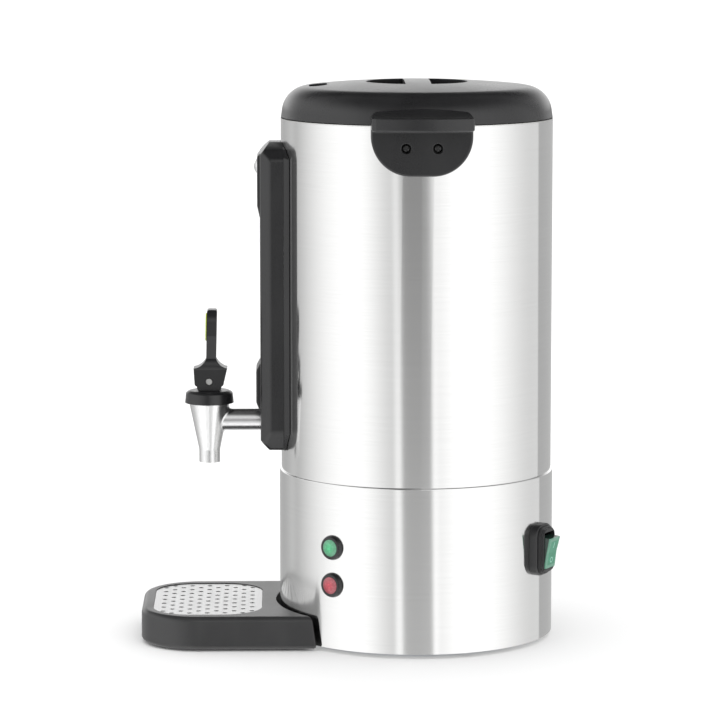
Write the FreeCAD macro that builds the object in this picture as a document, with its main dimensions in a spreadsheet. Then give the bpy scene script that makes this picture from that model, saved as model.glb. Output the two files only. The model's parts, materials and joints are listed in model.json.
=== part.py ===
# Coffee urn with a percolator inside, a tap, a sight gauge, a lit switch and a drip tray.
# Millimetres and degrees. +Z is up, the origin is on the urn's axis at the level it stands on,
# and the tap faces -Y.
import FreeCAD, Part
import math
import os
import Sketcher

V = FreeCAD.Vector

SIZES = {
    # Clearances
    "seat_gap": 0.3,
    "running_gap": 0.05,
    "lid_gap": 0.7,
    # Base
    "shell_lift": 4.0,
    "base_step": 1.5,
    "base_wall": 1.0,
    "base_lip": 11.0,
    "seam_level": 140.4,
    "seam_roll": 1.0,
    "ledge_width": 6.5,
    "plate_thickness": 1.2,
    "vent_count": 12,
    "vent_inner": 40.0,
    "vent_outer": 62.0,
    "vent_width": 4.0,
    "foot_radius": 10.0,
    "foot_inset": 28.0,
    "foot_angle": 45.0,
    "base_screw_inset": 7.0,
    "base_screw_turn": 20.0,
    "base_screw_radius": 1.5,
    "base_screw_head": 3.0,
    # Upper body
    "shell_radius": 112.5,
    "shell_wall": 0.8,
    "body_height": 292.2,
    "rim_thickness": 1.0,
    "tank_gap": 14.5,
    "tank_wall": 1.0,
    "tank_floor_rise": 25.6,
    "tank_corner": 4.0,
    "sump_radius": 23.0,
    "sump_depth": 20.0,
    "tab_reach": 3.8,
    "tab_drop": 6.6,
    "tab_thickness": 1.8,
    "tab_half_angle": 15.0,
    "bayonet_count": 3,
    # Lid
    "lid_inset": 0.2,
    "lid_lean": 3.4,
    "lid_shoulder": 23.4,
    "lid_height": 29.9,
    "lid_corner": 22.0,
    "lid_wall": 2.6,
    "lid_crown_flat": 6.0,
    "well_radius": 42.0,
    "well_depth": 16.0,
    "well_wall": 2.0,
    "grip_width": 21.0,
    "vent_inset": 31.0,
    "vent_length": 34.0,
    "vent_slot": 15.0,
    "liner_inset": 8.5,
    "liner_thickness": 1.5,
    "liner_rise": 2.8,
    "spigot_gap": 4.5,
    "spigot_wall": 2.0,
    "spigot_depth": 14.0,
    "lug_reach": 3.3,
    "lug_thickness": 2.4,
    "lug_half_angle": 9.0,
    "lug_start_angle": -30.0,
    "seal_inset": 9.5,
    "lid_screw_inset": 38.5,
    "lid_screw_radius": 1.75,
    "lid_boss_radius": 4.5,
    # Handles, with levels from the rim
    "handle_width": 81.4,
    "handle_drop": 39.6,
    "handle_corner": 32.0,
    "plate_depth": 7.0,
    "grip_drop": 2.2,
    "grip_lip_rise": 8.0,
    "grip_reach": 37.5,
    "grip_round": 121.0,
    "grip_corner": 7.0,
    "grip_lip_width": 3.0,
    "grip_dish": 44.0,
    "crown_rise": 13.8,
    "crown_side_rise": 11.4,
    "crown_corner": 6.0,
    "handle_edge": 1.6,
    "handle_screw_spread": 25.3,
    "handle_screw_drop": 17.2,
    "screw_radius": 2.0,
    "screw_head_radius": 3.4,
    "screw_head_height": 2.2,
    "screw_sink": 3.4,
    "screw_recess_bevel": 0.6,
    "nut_radius": 4.0,
    "nut_height": 3.2,
    # Gauge column, with depths from the shell and levels from the fittings
    "column_half_width": 38.0,
    "column_seat_half_width": 40.0,
    "column_face_half_width": 30.0,
    "column_foot_drop": 21.8,
    "column_top_rise": 20.5,
    "column_depth": 17.4,
    "column_side_depth": 9.8,
    "column_parting_depth": 2.1,
    "column_back_depth": 7.9,
    "column_wall": 2.2,
    "end_bevel": 8.0,
    "crest_half_width": 12.0,
    "crest_drop": 4.9,
    "top_bevel_height": 12.7,
    "foot_bevel_height": 16.0,
    "top_front_bevel": 11.6,
    "foot_front_bevel": 8.3,
    "boss_half_width": 20.0,
    "upper_boss_proud": 2.2,
    "upper_boss_top_rise": 9.0,
    "upper_boss_bottom_drop": 31.6,
    "upper_boss_foot_drop": 41.8,
    "lower_boss_proud": 3.5,
    "lower_boss_foot_rise": 7.8,
    "lower_boss_bottom_rise": 16.9,
    "lower_boss_top_rise": 43.5,
    "lower_boss_crest_rise": 49.9,
    "window_half_width": 5.5,
    "window_bottom_rise": 59.5,
    "window_top_drop": 48.5,
    "saddle_thickness": 1.4,
    "saddle_half_width": 33.0,
    "glass_reach": 8.5,
    "glass_radius": 4.0,
    "glass_wall": 1.0,
    "cap_drop": 40.1,
    "cap_radius": 7.0,
    "cap_height": 2.7,
    "fitting_radius": 6.2,
    "vent_pipe_radius": 4.0,
    "vent_pipe_bore": 2.4,
    "seal_height": 3.0,
    # Tap
    "tap_reach": 60.1,
    "nozzle_drop": 35.5,
    "nozzle_radius": 8.7,
    "nozzle_length": 10.5,
    "nozzle_bore": 6.6,
    "seat_drop": 15.0,
    "seat_bore": 5.6,
    "cone_radius": 16.6,
    "cone_rise": 13.5,
    "tap_wall": 2.0,
    "bonnet_radius": 20.3,
    "bonnet_band": 8.2,
    "bonnet_draft": 0.9,
    "bonnet_top_radius": 14.5,
    "bonnet_thread_radius": 16.4,
    "bonnet_depth": 6.3,
    "neck_rise": 40.1,
    "neck_radius": 8.95,
    "neck_bore": 5.5,
    "neck_flare": 3.0,
    "neck_socket": 6.0,
    "stem_radius": 3.0,
    "stem_drop": 9.0,
    "eye_radius": 4.2,
    "eye_half_width": 3.2,
    "pin_rise": 32.8,
    "pin_radius": 2.2,
    "pin_head_radius": 2.75,
    "pin_head_height": 0.6,
    "cup_radius": 7.6,
    "cup_height": 14.0,
    "spring_radius": 5.4,
    "spring_wire": 0.6,
    "spring_turns": 5,
    "tee_radius": 11.0,
    "tee_reach": 14.9,
    "tee_branch": 5.0,
    "shank_radius": 9.9,
    "shank_run": 12.0,
    "shank_nut_radius": 15.0,
    "shank_nut_height": 5.0,
    "washer_radius": 12.6,
    "washer_thickness": 1.6,
    # Lever, measured from its pin
    "lever_drop": 7.9,
    "lever_cam_centre": 7.2,
    "lever_cam_radius": 3.0,
    "plate_drop": 4.3,
    "plate_reach": 12.2,
    "plate_corner": 3.0,
    "lever_half_width": 8.5,
    "shoulder_front": 12.9,
    "shoulder_back": 15.1,
    "shoulder_rise": 11.0,
    "shoulder_hollow": 13.0,
    "stalk_front": 2.4,
    "stalk_back": 5.8,
    "stalk_rise": 18.9,
    "stalk_half_width": 6.0,
    "stalk_lean": 0.9,
    "lever_top": 59.3,
    "paddle_half_width": 10.5,
    "paddle_rise": 38.4,
    "pad_rise": 44.9,
    "pad_half_height": 11.6,
    "pad_half_width": 7.2,
    "pad_proud": 1.0,
    # Lamps
    "lamp_angle": -38.7,
    "green_level": 88.0,
    "red_level": 57.0,
    "bezel_radius": 10.2,
    "bezel_rim_radius": 8.6,
    "bezel_height": 3.6,
    "lens_radius": 6.9,
    "lens_height": 5.6,
    "barrel_radius": 7.9,
    "barrel_length": 14.0,
    "lamp_nut_radius": 10.8,
    "lamp_nut_height": 3.5,
    # Switch
    "switch_angle": 59.8,
    "switch_level": 80.4,
    "frame_width": 28.5,
    "frame_height": 42.4,
    "frame_corner": 9.5,
    "frame_stand": 6.0,
    "frame_rim": 2.1,
    "boot_stand": 10.6,
    "boot_lip": 7.2,
    "boot_first_step": 8.2,
    "boot_second_step": 9.4,
    "boot_step": 0.8,
    "rocker_width": 17.6,
    "rocker_half_height": 12.8,
    "rocker_face": 10.2,
    "rocker_hollow": 0.8,
    "rocker_pivot": 4.0,
    "rocker_tilt": 11.0,
    "rocker_pin": 1.5,
    "cheek_thickness": 1.2,
    "switch_depth": 26.0,
    "terminal_width": 6.3,
    "terminal_length": 8.0,
    "terminal_thickness": 0.8,
    # Back of the base
    "gland_angle": 135.0,
    "gland_level": 34.0,
    "gland_radius": 9.5,
    "gland_bore": 3.6,
    "gland_length": 13.0,
    # Heating
    "heater_thickness": 7.0,
    "element_inset": 9.0,
    "element_radius": 3.2,
    "keep_warm_inner": 36.0,
    "keep_warm_outer": 70.0,
    "keep_warm_thickness": 4.0,
    "sensor_radius": 8.0,
    "sensor_height": 6.0,
    "cutout_inset": 14.0,
    "terminal_inset": 30.0,
    # Percolator
    "tube_radius": 4.5,
    "tube_wall": 0.8,
    "tube_drop": 7.6,
    "bell_inset": 1.5,
    "bell_height": 18.0,
    "bell_wall": 1.2,
    "basket_gap": 36.0,
    "basket_drop": 94.6,
    "basket_height": 68.0,
    "basket_wall": 0.8,
    "basket_taper": 3.0,
    "sleeve_gap": 1.2,
    "basket_holes": 14,
    "basket_hole_radius": 1.3,
    "spreader_lip": 6.0,
    # Drip tray
    "tray_reach": 115.2,
    "tray_half_width": 82.0,
    "tray_draft": 4.0,
    "tray_lift": 1.8,
    "tray_height": 28.0,
    "tray_corner": 48.0,
    "tray_gap": 3.5,
    "tray_top_edge": 4.5,
    "tray_foot_edge": 3.0,
    "tray_foot_radius": 5.0,
    "tongue_half_width": 25.0,
    "tongue_reach": 26.0,
    "tongue_thickness": 1.8,
    "grille_reach": 60.2,
    "grille_length": 90.0,
    "grille_width": 131.0,
    "grille_corner": 33.0,
    "grille_thickness": 1.2,
    "grille_sink": 0.5,
    "grille_ledge": 4.0,
    "reservoir_floor": 5.0,
    "hole_radius": 2.1,
    "hole_pitch": 7.35,
    "hole_pitch_across": 16.2,
    "hole_columns": 6,
    "hole_rows": 7,
}


class Size:
    """A dimension: its formula in the sheet and its present value."""

    def __init__(self, formula, value):
        self.formula = formula
        self.value = value

    @staticmethod
    def of(thing):
        if isinstance(thing, Size):
            return thing
        return Size(f"({float(thing)})", float(thing))

    def __add__(self, other):
        other = Size.of(other)
        return Size(f"({self.formula} + {other.formula})", self.value + other.value)

    def __sub__(self, other):
        other = Size.of(other)
        return Size(f"({self.formula} - {other.formula})", self.value - other.value)

    def __mul__(self, other):
        other = Size.of(other)
        return Size(f"({self.formula} * {other.formula})", self.value * other.value)

    def __truediv__(self, other):
        other = Size.of(other)
        return Size(f"({self.formula} / {other.formula})", self.value / other.value)

    def __radd__(self, other):
        return Size.of(other) + self

    def __rsub__(self, other):
        return Size.of(other) - self

    def __rmul__(self, other):
        return Size.of(other) * self

    def __neg__(self):
        return Size(f"(-1 * {self.formula})", -self.value)


def cosine(angle):
    angle = Size.of(angle)
    return Size(f"cos({angle.formula})", math.cos(math.radians(angle.value)))


def sine(angle):
    angle = Size.of(angle)
    return Size(f"sin({angle.formula})", math.sin(math.radians(angle.value)))


def around(circle, angle):
    """The X and Y of a point on a circle about the urn's axis."""
    return circle * cosine(angle), circle * sine(angle)


def root(size):
    return Size(f"sqrt({size.formula})", math.sqrt(size.value))


class Sizes:
    """The spreadsheet of driving dimensions, read by name."""

    def __init__(self, sizes):
        self.sheet = document.addObject("Spreadsheet::Sheet", "Sizes")
        for row, (name, value) in enumerate(sizes.items(), start=1):
            self.sheet.set(f"A{row}", name)
            self.sheet.set(f"B{row}", str(value))
            self.sheet.setAlias(f"B{row}", name)
        document.recompute()

    def __getattr__(self, name):
        return Size(f"Sizes.{name}", float(self.sheet.get(name)))


document = FreeCAD.newDocument("CoffeeUrn")
S = Sizes(SIZES)
nodes = []


def derive_radii():
    """Every depth that follows the shell's radius."""
    shell = S.shell_radius
    S.base_radius = shell + S.base_step
    S.tank_radius = shell - S.tank_gap
    S.lid_radius = shell - S.lid_inset
    S.liner_radius = shell - S.liner_inset
    S.seal_outer = shell - S.seal_inset
    S.spigot_radius = S.tank_radius - S.spigot_gap
    S.lid_screw_circle = shell - S.lid_screw_inset
    S.vent_offset = shell - S.vent_inset
    S.plate_front = shell + S.plate_depth
    S.grip_front = shell + S.grip_reach
    S.column_front = shell + S.column_depth
    S.column_side_front = shell + S.column_side_depth
    S.column_parting = shell - S.column_parting_depth
    S.column_back = shell - S.column_back_depth
    S.upper_boss_front = S.column_front + S.upper_boss_proud
    S.lower_boss_front = S.column_front + S.lower_boss_proud
    S.cap_front = S.upper_boss_front + S.cap_height
    S.glass_offset = shell + S.glass_reach
    S.tap_offset = shell + S.tap_reach
    S.tee_front = shell + S.tee_reach
    S.shank_inner_end = S.tank_radius - S.shank_run
    S.foot_circle = S.base_radius - S.foot_inset
    S.base_screw_circle = S.base_radius - S.base_screw_inset
    S.element_circle = S.sump_radius + S.tank_wall - S.element_inset
    S.cutout_circle = S.tank_radius - S.cutout_inset
    S.terminal_back = S.base_radius - S.terminal_inset
    S.bell_radius = S.sump_radius - S.bell_inset
    S.basket_radius = S.tank_radius - S.basket_gap
    S.tray_front = S.base_radius + S.tray_reach
    S.tongue_end = S.base_radius - S.tongue_reach
    S.grille_centre = S.base_radius + S.grille_reach


def derive_levels():
    """Every level that follows the seam or the rim."""
    rim = S.seam_level + S.body_height
    S.rim_level = rim
    S.tank_floor = S.seam_level + S.tank_floor_rise
    S.sump_floor = S.tank_floor - S.sump_depth
    S.tab_level = rim - S.tab_drop
    S.liner_level = rim + S.liner_rise
    S.handle_bottom = rim - S.handle_drop
    S.grip_bottom = rim - S.grip_drop
    S.grip_lip = rim + S.grip_lip_rise
    S.crown_level = rim + S.crown_rise
    S.crown_side = rim + S.crown_side_rise
    S.handle_screw_level = rim - S.handle_screw_drop
    S.neck_level = S.seam_level + S.neck_rise
    S.cap_level = rim - S.cap_drop
    S.column_bottom = S.neck_level - S.column_foot_drop
    S.column_top = S.cap_level + S.column_top_rise
    S.upper_boss_top = S.cap_level + S.upper_boss_top_rise
    S.upper_boss_bottom = S.cap_level - S.upper_boss_bottom_drop
    S.upper_boss_foot = S.cap_level - S.upper_boss_foot_drop
    S.lower_boss_foot = S.neck_level + S.lower_boss_foot_rise
    S.lower_boss_bottom = S.neck_level + S.lower_boss_bottom_rise
    S.lower_boss_top = S.neck_level + S.lower_boss_top_rise
    S.lower_boss_crest = S.neck_level + S.lower_boss_crest_rise
    S.window_bottom = S.neck_level + S.window_bottom_rise
    S.window_top = S.cap_level - S.window_top_drop
    S.nozzle_level = S.neck_level - S.nozzle_drop
    S.seat_level = S.neck_level - S.seat_drop
    S.cone_top = S.neck_level + S.cone_rise
    S.bonnet_level = S.cone_top + 1
    S.bonnet_inside = S.bonnet_level + S.bonnet_depth
    S.stem_bottom = S.neck_level - S.stem_drop
    S.pin_level = S.neck_level + S.pin_rise
    S.tube_top = rim - S.tube_drop
    S.basket_bottom = rim - S.basket_drop


derive_radii()
derive_levels()


def keep(thing):
    nodes.append(thing)
    return thing


def set_size(thing, name, size):
    thing.setExpression(name, Size.of(size).formula)


# Sketches and features
def new_body(label):
    return document.addObject("PartDesign::Body", label)


def origin_feature(body, role):
    for feature in body.Origin.OriginFeatures:
        if feature.Role == role:
            return feature
    raise RuntimeError(f"{body.Label} has no {role}")


def new_sketch(body, plane, level=None):
    sketch = body.newObject("Sketcher::SketchObject", f"{body.Name}_sketch")
    sketch.AttachmentSupport = [(origin_feature(body, f"{plane}_Plane"), "")]
    sketch.MapMode = "FlatFace"
    if level is not None:
        set_size(sketch, "AttachmentOffset.Base.z", level)
    return sketch


def pin_point(sketch, curve, end, x, y):
    """Fix one point of a sketch at two dimensions from the sketch's origin."""
    for kind, axis, size in (("DistanceX", -2, Size.of(x)), ("DistanceY", -1, Size.of(y))):
        if size.value == 0:
            sketch.addConstraint(Sketcher.Constraint("PointOnObject", curve, end, axis))
        else:
            rule = Sketcher.Constraint(kind, -1, 1, curve, end, size.value)
            number = sketch.addConstraint(rule)
            sketch.setExpression(f"Constraints[{number}]", size.formula)


def arc_between(start, end, radius):
    """The shorter arc from start to end: anticlockwise for a positive radius."""
    chord = end - start
    rise = math.sqrt(max(radius * radius - chord.Length ** 2 / 4, 0.0))
    side = V(-chord.y, chord.x, 0).normalize() * math.copysign(rise, radius)
    centre = (start + end) * 0.5 + side
    first, last = (start, end) if radius > 0 else (end, start)
    begin = math.atan2(first.y - centre.y, first.x - centre.x)
    finish = math.atan2(last.y - centre.y, last.x - centre.x)
    if finish < begin:
        finish += 2 * math.pi
    circle = Part.Circle(centre, V(0, 0, 1), abs(radius))
    return Part.ArcOfCircle(circle, begin, finish)


def outline(sketch, corners):
    """A closed outline. A corner's third value is the radius of the arc that starts there."""
    points = [V(Size.of(corner[0]).value, Size.of(corner[1]).value, 0) for corner in corners]
    ends = []
    for index, corner in enumerate(corners):
        start = points[index]
        end = points[(index + 1) % len(points)]
        if len(corner) == 2:
            curve = sketch.addGeometry(Part.LineSegment(start, end), False)
            ends.append((curve, 1, 2))
            continue
        radius = Size.of(corner[2])
        curve = sketch.addGeometry(arc_between(start, end, radius.value), False)
        ends.append((curve, 1, 2) if radius.value > 0 else (curve, 2, 1))
    for index, corner in enumerate(corners):
        curve, first, last = ends[index]
        following = ends[(index + 1) % len(ends)]
        sketch.addConstraint(Sketcher.Constraint("Coincident", curve, last, following[0], following[1]))
        pin_point(sketch, curve, first, corner[0], corner[1])
        if len(corner) == 3:
            radius = Size.of(corner[2])
            number = sketch.addConstraint(Sketcher.Constraint("Radius", curve, abs(radius.value)))
            sketch.setExpression(f"Constraints[{number}]", f"abs({radius.formula})")


def ring(sketch, radius, x=0, y=0):
    radius = Size.of(radius)
    centre = V(Size.of(x).value, Size.of(y).value, 0)
    curve = sketch.addGeometry(Part.Circle(centre, V(0, 0, 1), radius.value), False)
    pin_point(sketch, curve, 3, x, y)
    number = sketch.addConstraint(Sketcher.Constraint("Radius", curve, radius.value))
    sketch.setExpression(f"Constraints[{number}]", radius.formula)


def rectangle(sketch, left, bottom, right, top):
    outline(sketch, [(left, bottom), (right, bottom), (right, top), (left, top)])


def rounded_rectangle(sketch, left, bottom, right, top, corner):
    outline(sketch, [
        (left + corner, bottom), (right - corner, bottom, corner),
        (right, bottom + corner), (right, top - corner, corner),
        (right - corner, top), (left + corner, top, corner),
        (left, top - corner), (left, bottom + corner, corner),
    ])


def pad(body, sketch, length, both=False, back=False):
    feature = body.newObject("PartDesign::Pad", f"{body.Name}_pad")
    feature.Profile = sketch
    set_size(feature, "Length", length)
    feature.Midplane = both
    feature.Reversed = back
    return feature


def pocket(body, sketch, length=None, both=False, back=False):
    feature = body.newObject("PartDesign::Pocket", f"{body.Name}_pocket")
    feature.Profile = sketch
    if length is None:
        feature.Type = "ThroughAll"
    else:
        set_size(feature, "Length", length)
    feature.Midplane = both
    feature.Reversed = back
    return feature


def revolve(body, sketch, kind="Revolution"):
    feature = body.newObject(f"PartDesign::{kind}", f"{body.Name}_{kind.lower()}")
    feature.Profile = sketch
    feature.ReferenceAxis = (sketch, ["V_Axis"])
    feature.Angle = 360
    return feature


def turned(label, corners):
    """A body turned about its own Z axis from a half section of radius and level."""
    body = new_body(label)
    sketch = new_sketch(body, "XZ")
    outline(sketch, corners)
    revolve(body, sketch)
    return body


AXES = {"X": V(1, 0, 0), "-X": V(-1, 0, 0), "Y": V(0, 1, 0), "-Y": V(0, -1, 0), "Z": V(0, 0, 1)}


def rod(body, kind, radius, length, start, towards):
    """An added or removed cylinder of a body, from a start point towards an axis."""
    feature = body.newObject(f"PartDesign::{kind}Cylinder", f"{body.Name}_{kind.lower()}")
    set_size(feature, "Radius", radius)
    set_size(feature, "Height", length)
    feature.Placement = FreeCAD.Placement(V(0, 0, 0), FreeCAD.Rotation(V(0, 0, 1), AXES[towards]))
    for axis, size in zip("xyz", start):
        set_size(feature, f"Placement.Base.{axis}", size)
    return feature


def block(body, kind, low, high):
    """An added or removed box of a body, between two corners."""
    feature = body.newObject(f"PartDesign::{kind}Box", f"{body.Name}_{kind.lower()}")
    for name, axis, start, end in zip(("Length", "Width", "Height"), "xyz", low, high):
        set_size(feature, name, Size.of(end) - start)
        set_size(feature, f"Placement.Base.{axis}", start)
    return feature


def repeat_round(body, feature, count):
    pattern = body.newObject("PartDesign::PolarPattern", f"{body.Name}_pattern")
    pattern.Originals = [feature]
    pattern.Axis = (origin_feature(body, "Z_Axis"), [""])
    pattern.Angle = 360
    set_size(pattern, "Occurrences", count)
    body.Tip = pattern
    return pattern


def soften(body, choose, size, kind="Fillet"):
    """Round or bevel the edges of a body that a test picks out."""
    document.recompute()
    base = body.Tip
    names = [f"Edge{number}" for number, edge in enumerate(base.Shape.Edges, start=1) if choose(edge)]
    if not names:
        raise RuntimeError(f"{body.Label} has no such edge")
    feature = body.newObject(f"PartDesign::{kind}", f"{body.Name}_{kind.lower()}")
    feature.Base = (base, names)
    set_size(feature, "Radius" if kind == "Fillet" else "Size", size)
    return feature


def near(value, size):
    return abs(value - Size.of(size).value) < 0.02


def flat_at(edge, level):
    box = edge.BoundBox
    return near(box.ZMin, level) and near(box.ZMax, level)


def place(thing, x=0, y=0, z=0, turn=None):
    thing.Placement = FreeCAD.Placement(V(0, 0, 0), turn or FreeCAD.Rotation())
    for axis, size in (("x", x), ("y", y), ("z", z)):
        set_size(thing, f"Placement.Base.{axis}", size)
    return thing


def facing_out(angle, tilt=0.0):
    """The turn that points local Z away from the urn, local Y up and local X along the shell."""
    spin = FreeCAD.Rotation(V(0, 0, 1), Size.of(angle).value)
    stand = FreeCAD.Rotation(V(0, 1, 0), V(0, 0, 1), V(1, 0, 0), "ZXY")
    return spin * stand * FreeCAD.Rotation(V(1, 0, 0), Size.of(tilt).value)


def on_shell(thing, angle, level, stand=0.0, tilt=0.0):
    """Stand a piece on the base shell at an angle round it and a level."""
    reach = S.base_radius + stand
    return place(thing, reach * cosine(angle), reach * sine(angle), level, facing_out(angle, tilt))


def simple(kind, label, **sizes):
    thing = document.addObject(f"Part::{kind}", label)
    for name, size in sizes.items():
        set_size(thing, name, size)
    return thing


def group(label, things):
    """Separate identical solids that share one node."""
    compound = document.addObject("Part::Compound", label)
    compound.Links = things
    return keep(compound)


def minus(label, base, tools):
    """A Part cut of one object by several."""
    tool = tools[0]
    if len(tools) > 1:
        tool = document.addObject("Part::MultiFuse", f"{label}_tools")
        tool.Shapes = tools
    cut = document.addObject("Part::Cut", label)
    cut.Base = base
    cut.Tool = tool
    return keep(cut)


def shell_hole(label, radius, angle, level):
    hole = simple("Cylinder", label, Radius=radius, Height=20.0)
    return on_shell(hole, angle, level, -10.0)


def screw(label, shank_radius, shank_length, head_radius, head_height):
    """A round-headed screw: its head stands on local Z = 0 and its shank runs down."""
    body = turned(label, [
        (0, head_height), (0, -shank_length), (shank_radius, -shank_length), (shank_radius, 0),
        (head_radius, 0), (head_radius, head_height * 0.5), (head_radius * 0.7, head_height),
    ])
    arm = head_radius * 0.6
    slot = new_sketch(body, "XY", head_height)
    half = head_radius * 0.14
    outline(slot, [(-arm, -half), (-half, -half), (-half, -arm), (half, -arm), (half, -half), (arm, -half),
                   (arm, half), (half, half), (half, arm), (-half, arm), (-half, half), (-arm, half)])
    pocket(body, slot, head_height * 0.6)
    return body


def nut(label, across_radius, height, bore_radius):
    """A hexagon nut that stands on local Z = 0."""
    body = new_body(label)
    sketch = new_sketch(body, "XY")
    corners = []
    for side in range(6):
        corners.append((across_radius * cosine(60.0 * side), across_radius * sine(60.0 * side)))
    corners[0] = (across_radius, 0)
    corners[3] = (-across_radius, 0)
    outline(sketch, corners)
    ring(sketch, bore_radius)
    pad(body, sketch, height)
    return body


# Body shells
def build_base_shell():
    inner = S.base_radius - S.base_wall
    body = turned("base_shell_blank", [
        (S.base_radius, S.shell_lift), (S.base_radius, S.seam_level - S.seam_roll, S.seam_roll),
        (S.base_radius - S.seam_roll, S.seam_level),
        (S.shell_radius - S.ledge_width, S.seam_level),
        (S.shell_radius - S.ledge_width, S.seam_level - S.base_wall),
        (inner, S.seam_level - S.base_wall), (inner, S.shell_lift + S.base_wall),
        (S.base_radius - S.base_lip, S.shell_lift + S.base_wall), (S.base_radius - S.base_lip, S.shell_lift),
    ])
    lamp_hole = S.barrel_radius + S.seat_gap
    tools = [
        shell_hole("green_lamp_hole", lamp_hole, S.lamp_angle, S.green_level),
        shell_hole("red_lamp_hole", lamp_hole, S.lamp_angle, S.red_level),
        shell_hole("gland_hole", S.gland_radius - 2 + S.seat_gap, S.gland_angle, S.gland_level),
    ]
    width = switch_box_width() + 2 * S.seat_gap
    height = switch_box_height() + 2 * S.seat_gap
    opening = simple("Box", "switch_opening", Length=width, Width=height, Height=20.0)
    half_x = width / 2
    across = S.switch_angle + 90.0
    reach = S.base_radius - 10
    place(opening, reach * cosine(S.switch_angle) - half_x * cosine(across),
          reach * sine(S.switch_angle) - half_x * sine(across),
          S.switch_level - height / 2, facing_out(S.switch_angle))
    tools.append(opening)
    for number in range(4):
        x, y = around(S.base_screw_circle, S.base_screw_turn + 90.0 * number)
        hole = simple("Cylinder", f"base_screw_hole_{number}", Radius=S.base_screw_radius + 0.2, Height=4.0)
        tools.append(place(hole, x, y, S.shell_lift - 1))
    minus("base_shell", body, tools)


def build_base_plate():
    level = S.shell_lift + S.base_wall
    body = new_body("base_plate")
    sketch = new_sketch(body, "XY", level)
    ring(sketch, S.base_radius - S.base_wall - S.seat_gap)
    pad(body, sketch, S.plate_thickness)
    slot = new_sketch(body, "XY", level)
    half = S.vent_width / 2
    outline(slot, [(S.vent_inner, -half), (S.vent_outer, -half, half), (S.vent_outer + half, 0, half),
                   (S.vent_outer, half), (S.vent_inner, half, half), (S.vent_inner - half, 0, half)])
    opening = pocket(body, slot, back=True)
    repeat_round(body, opening, S.vent_count)
    feet = []
    screws = []
    for number in range(4):
        x, y = around(S.base_screw_circle, S.base_screw_turn + 90.0 * number)
        rod(body, "Subtractive", S.base_screw_radius + 0.02, 10.0, (x, y, level - 2), "Z")
        piece = screw(f"base_screw_{number}", S.base_screw_radius, Size.of(5.0), S.base_screw_head, Size.of(1.5))
        screws.append(place(piece, x, y, S.shell_lift, FreeCAD.Rotation(V(1, 0, 0), 180)))
        x, y = around(S.foot_circle, S.foot_angle + 90.0 * number)
        foot = turned(f"foot_{number}", [
            (0, 0), (S.foot_radius - 1, 0), (S.foot_radius, 1.0), (S.foot_radius - 0.8, level), (0, level)])
        feet.append(place(foot, x, y))
    keep(body)
    group("feet", feet)
    group("base_screws", screws)


def side_screw_holes(body, radius, start, towards):
    for side in (-1, 1):
        rod(body, "Subtractive", radius, 30.0, (start, side * S.handle_screw_spread / 2, S.handle_screw_level),
            towards)


def build_outer_jacket():
    top = S.rim_level - S.rim_thickness
    inner = S.shell_radius - S.shell_wall
    body = turned("outer_jacket", [
        (S.shell_radius, S.seam_level), (S.shell_radius, top), (inner, top), (inner, S.seam_level)])
    side_screw_holes(body, S.screw_radius + S.seat_gap, S.shell_radius - 15, "X")
    side_screw_holes(body, S.screw_radius + S.seat_gap, 15 - S.shell_radius, "-X")
    rod(body, "Subtractive", S.shank_radius + S.seat_gap, 30.0, (0, 15 - S.shell_radius, S.neck_level), "-Y")
    rod(body, "Subtractive", S.vent_pipe_radius + S.seat_gap, 30.0, (0, 15 - S.shell_radius, S.cap_level), "-Y")
    keep(body)


def sector(sketch, inner, outer, middle, half_angle):
    """A ring sector about the sketch's origin."""
    low = middle - half_angle
    high = middle + half_angle
    outline(sketch, [
        (inner * cosine(low), inner * sine(low)), (outer * cosine(low), outer * sine(low), outer),
        (outer * cosine(high), outer * sine(high)), (inner * cosine(high), inner * sine(high), -inner)])


def build_inner_tank():
    wall = S.tank_wall
    bend = S.tank_corner
    weld = S.tank_floor + bend
    outer = S.tank_radius + wall
    floor = turned("tank_floor", [
        (0, S.sump_floor - wall), (S.sump_radius + wall, S.sump_floor - wall),
        (S.sump_radius + wall, S.tank_floor - wall), (S.tank_radius - bend, S.tank_floor - wall, bend + wall),
        (outer, weld), (S.tank_radius, weld, -bend), (S.tank_radius - bend, S.tank_floor),
        (S.sump_radius, S.tank_floor), (S.sump_radius, S.sump_floor), (0, S.sump_floor)])
    keep(floor)
    body = turned("inner_tank", [
        (S.shell_radius, S.rim_level - S.rim_thickness), (S.shell_radius, S.rim_level),
        (S.tank_radius, S.rim_level), (S.tank_radius, weld), (outer, weld),
        (outer, S.rim_level - S.rim_thickness)])
    tab = new_sketch(body, "XY", S.tab_level)
    sector(tab, S.tank_radius - S.tab_reach, S.tank_radius + wall / 2, 0.0, S.tab_half_angle)
    raised = pad(body, tab, S.tab_thickness)
    repeat_round(body, raised, S.bayonet_count)
    rod(body, "Subtractive", S.shank_radius + S.seat_gap, 20.0, (0, 10 - S.tank_radius, S.neck_level), "-Y")
    rod(body, "Subtractive", S.vent_pipe_radius + S.seat_gap, 20.0, (0, 10 - S.tank_radius, S.cap_level), "-Y")
    keep(body)


# Lid
def lid_level():
    return S.rim_level + S.lid_gap


def half_moon(sketch, radius, inset, side):
    """The part of a disc beyond a straight line, on one side of the X axis."""
    reach = root(radius * radius - inset * inset)
    outline(sketch, [(side * reach, side * inset, radius), (0, side * radius, radius),
                     (-side * reach, side * inset)])


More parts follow.
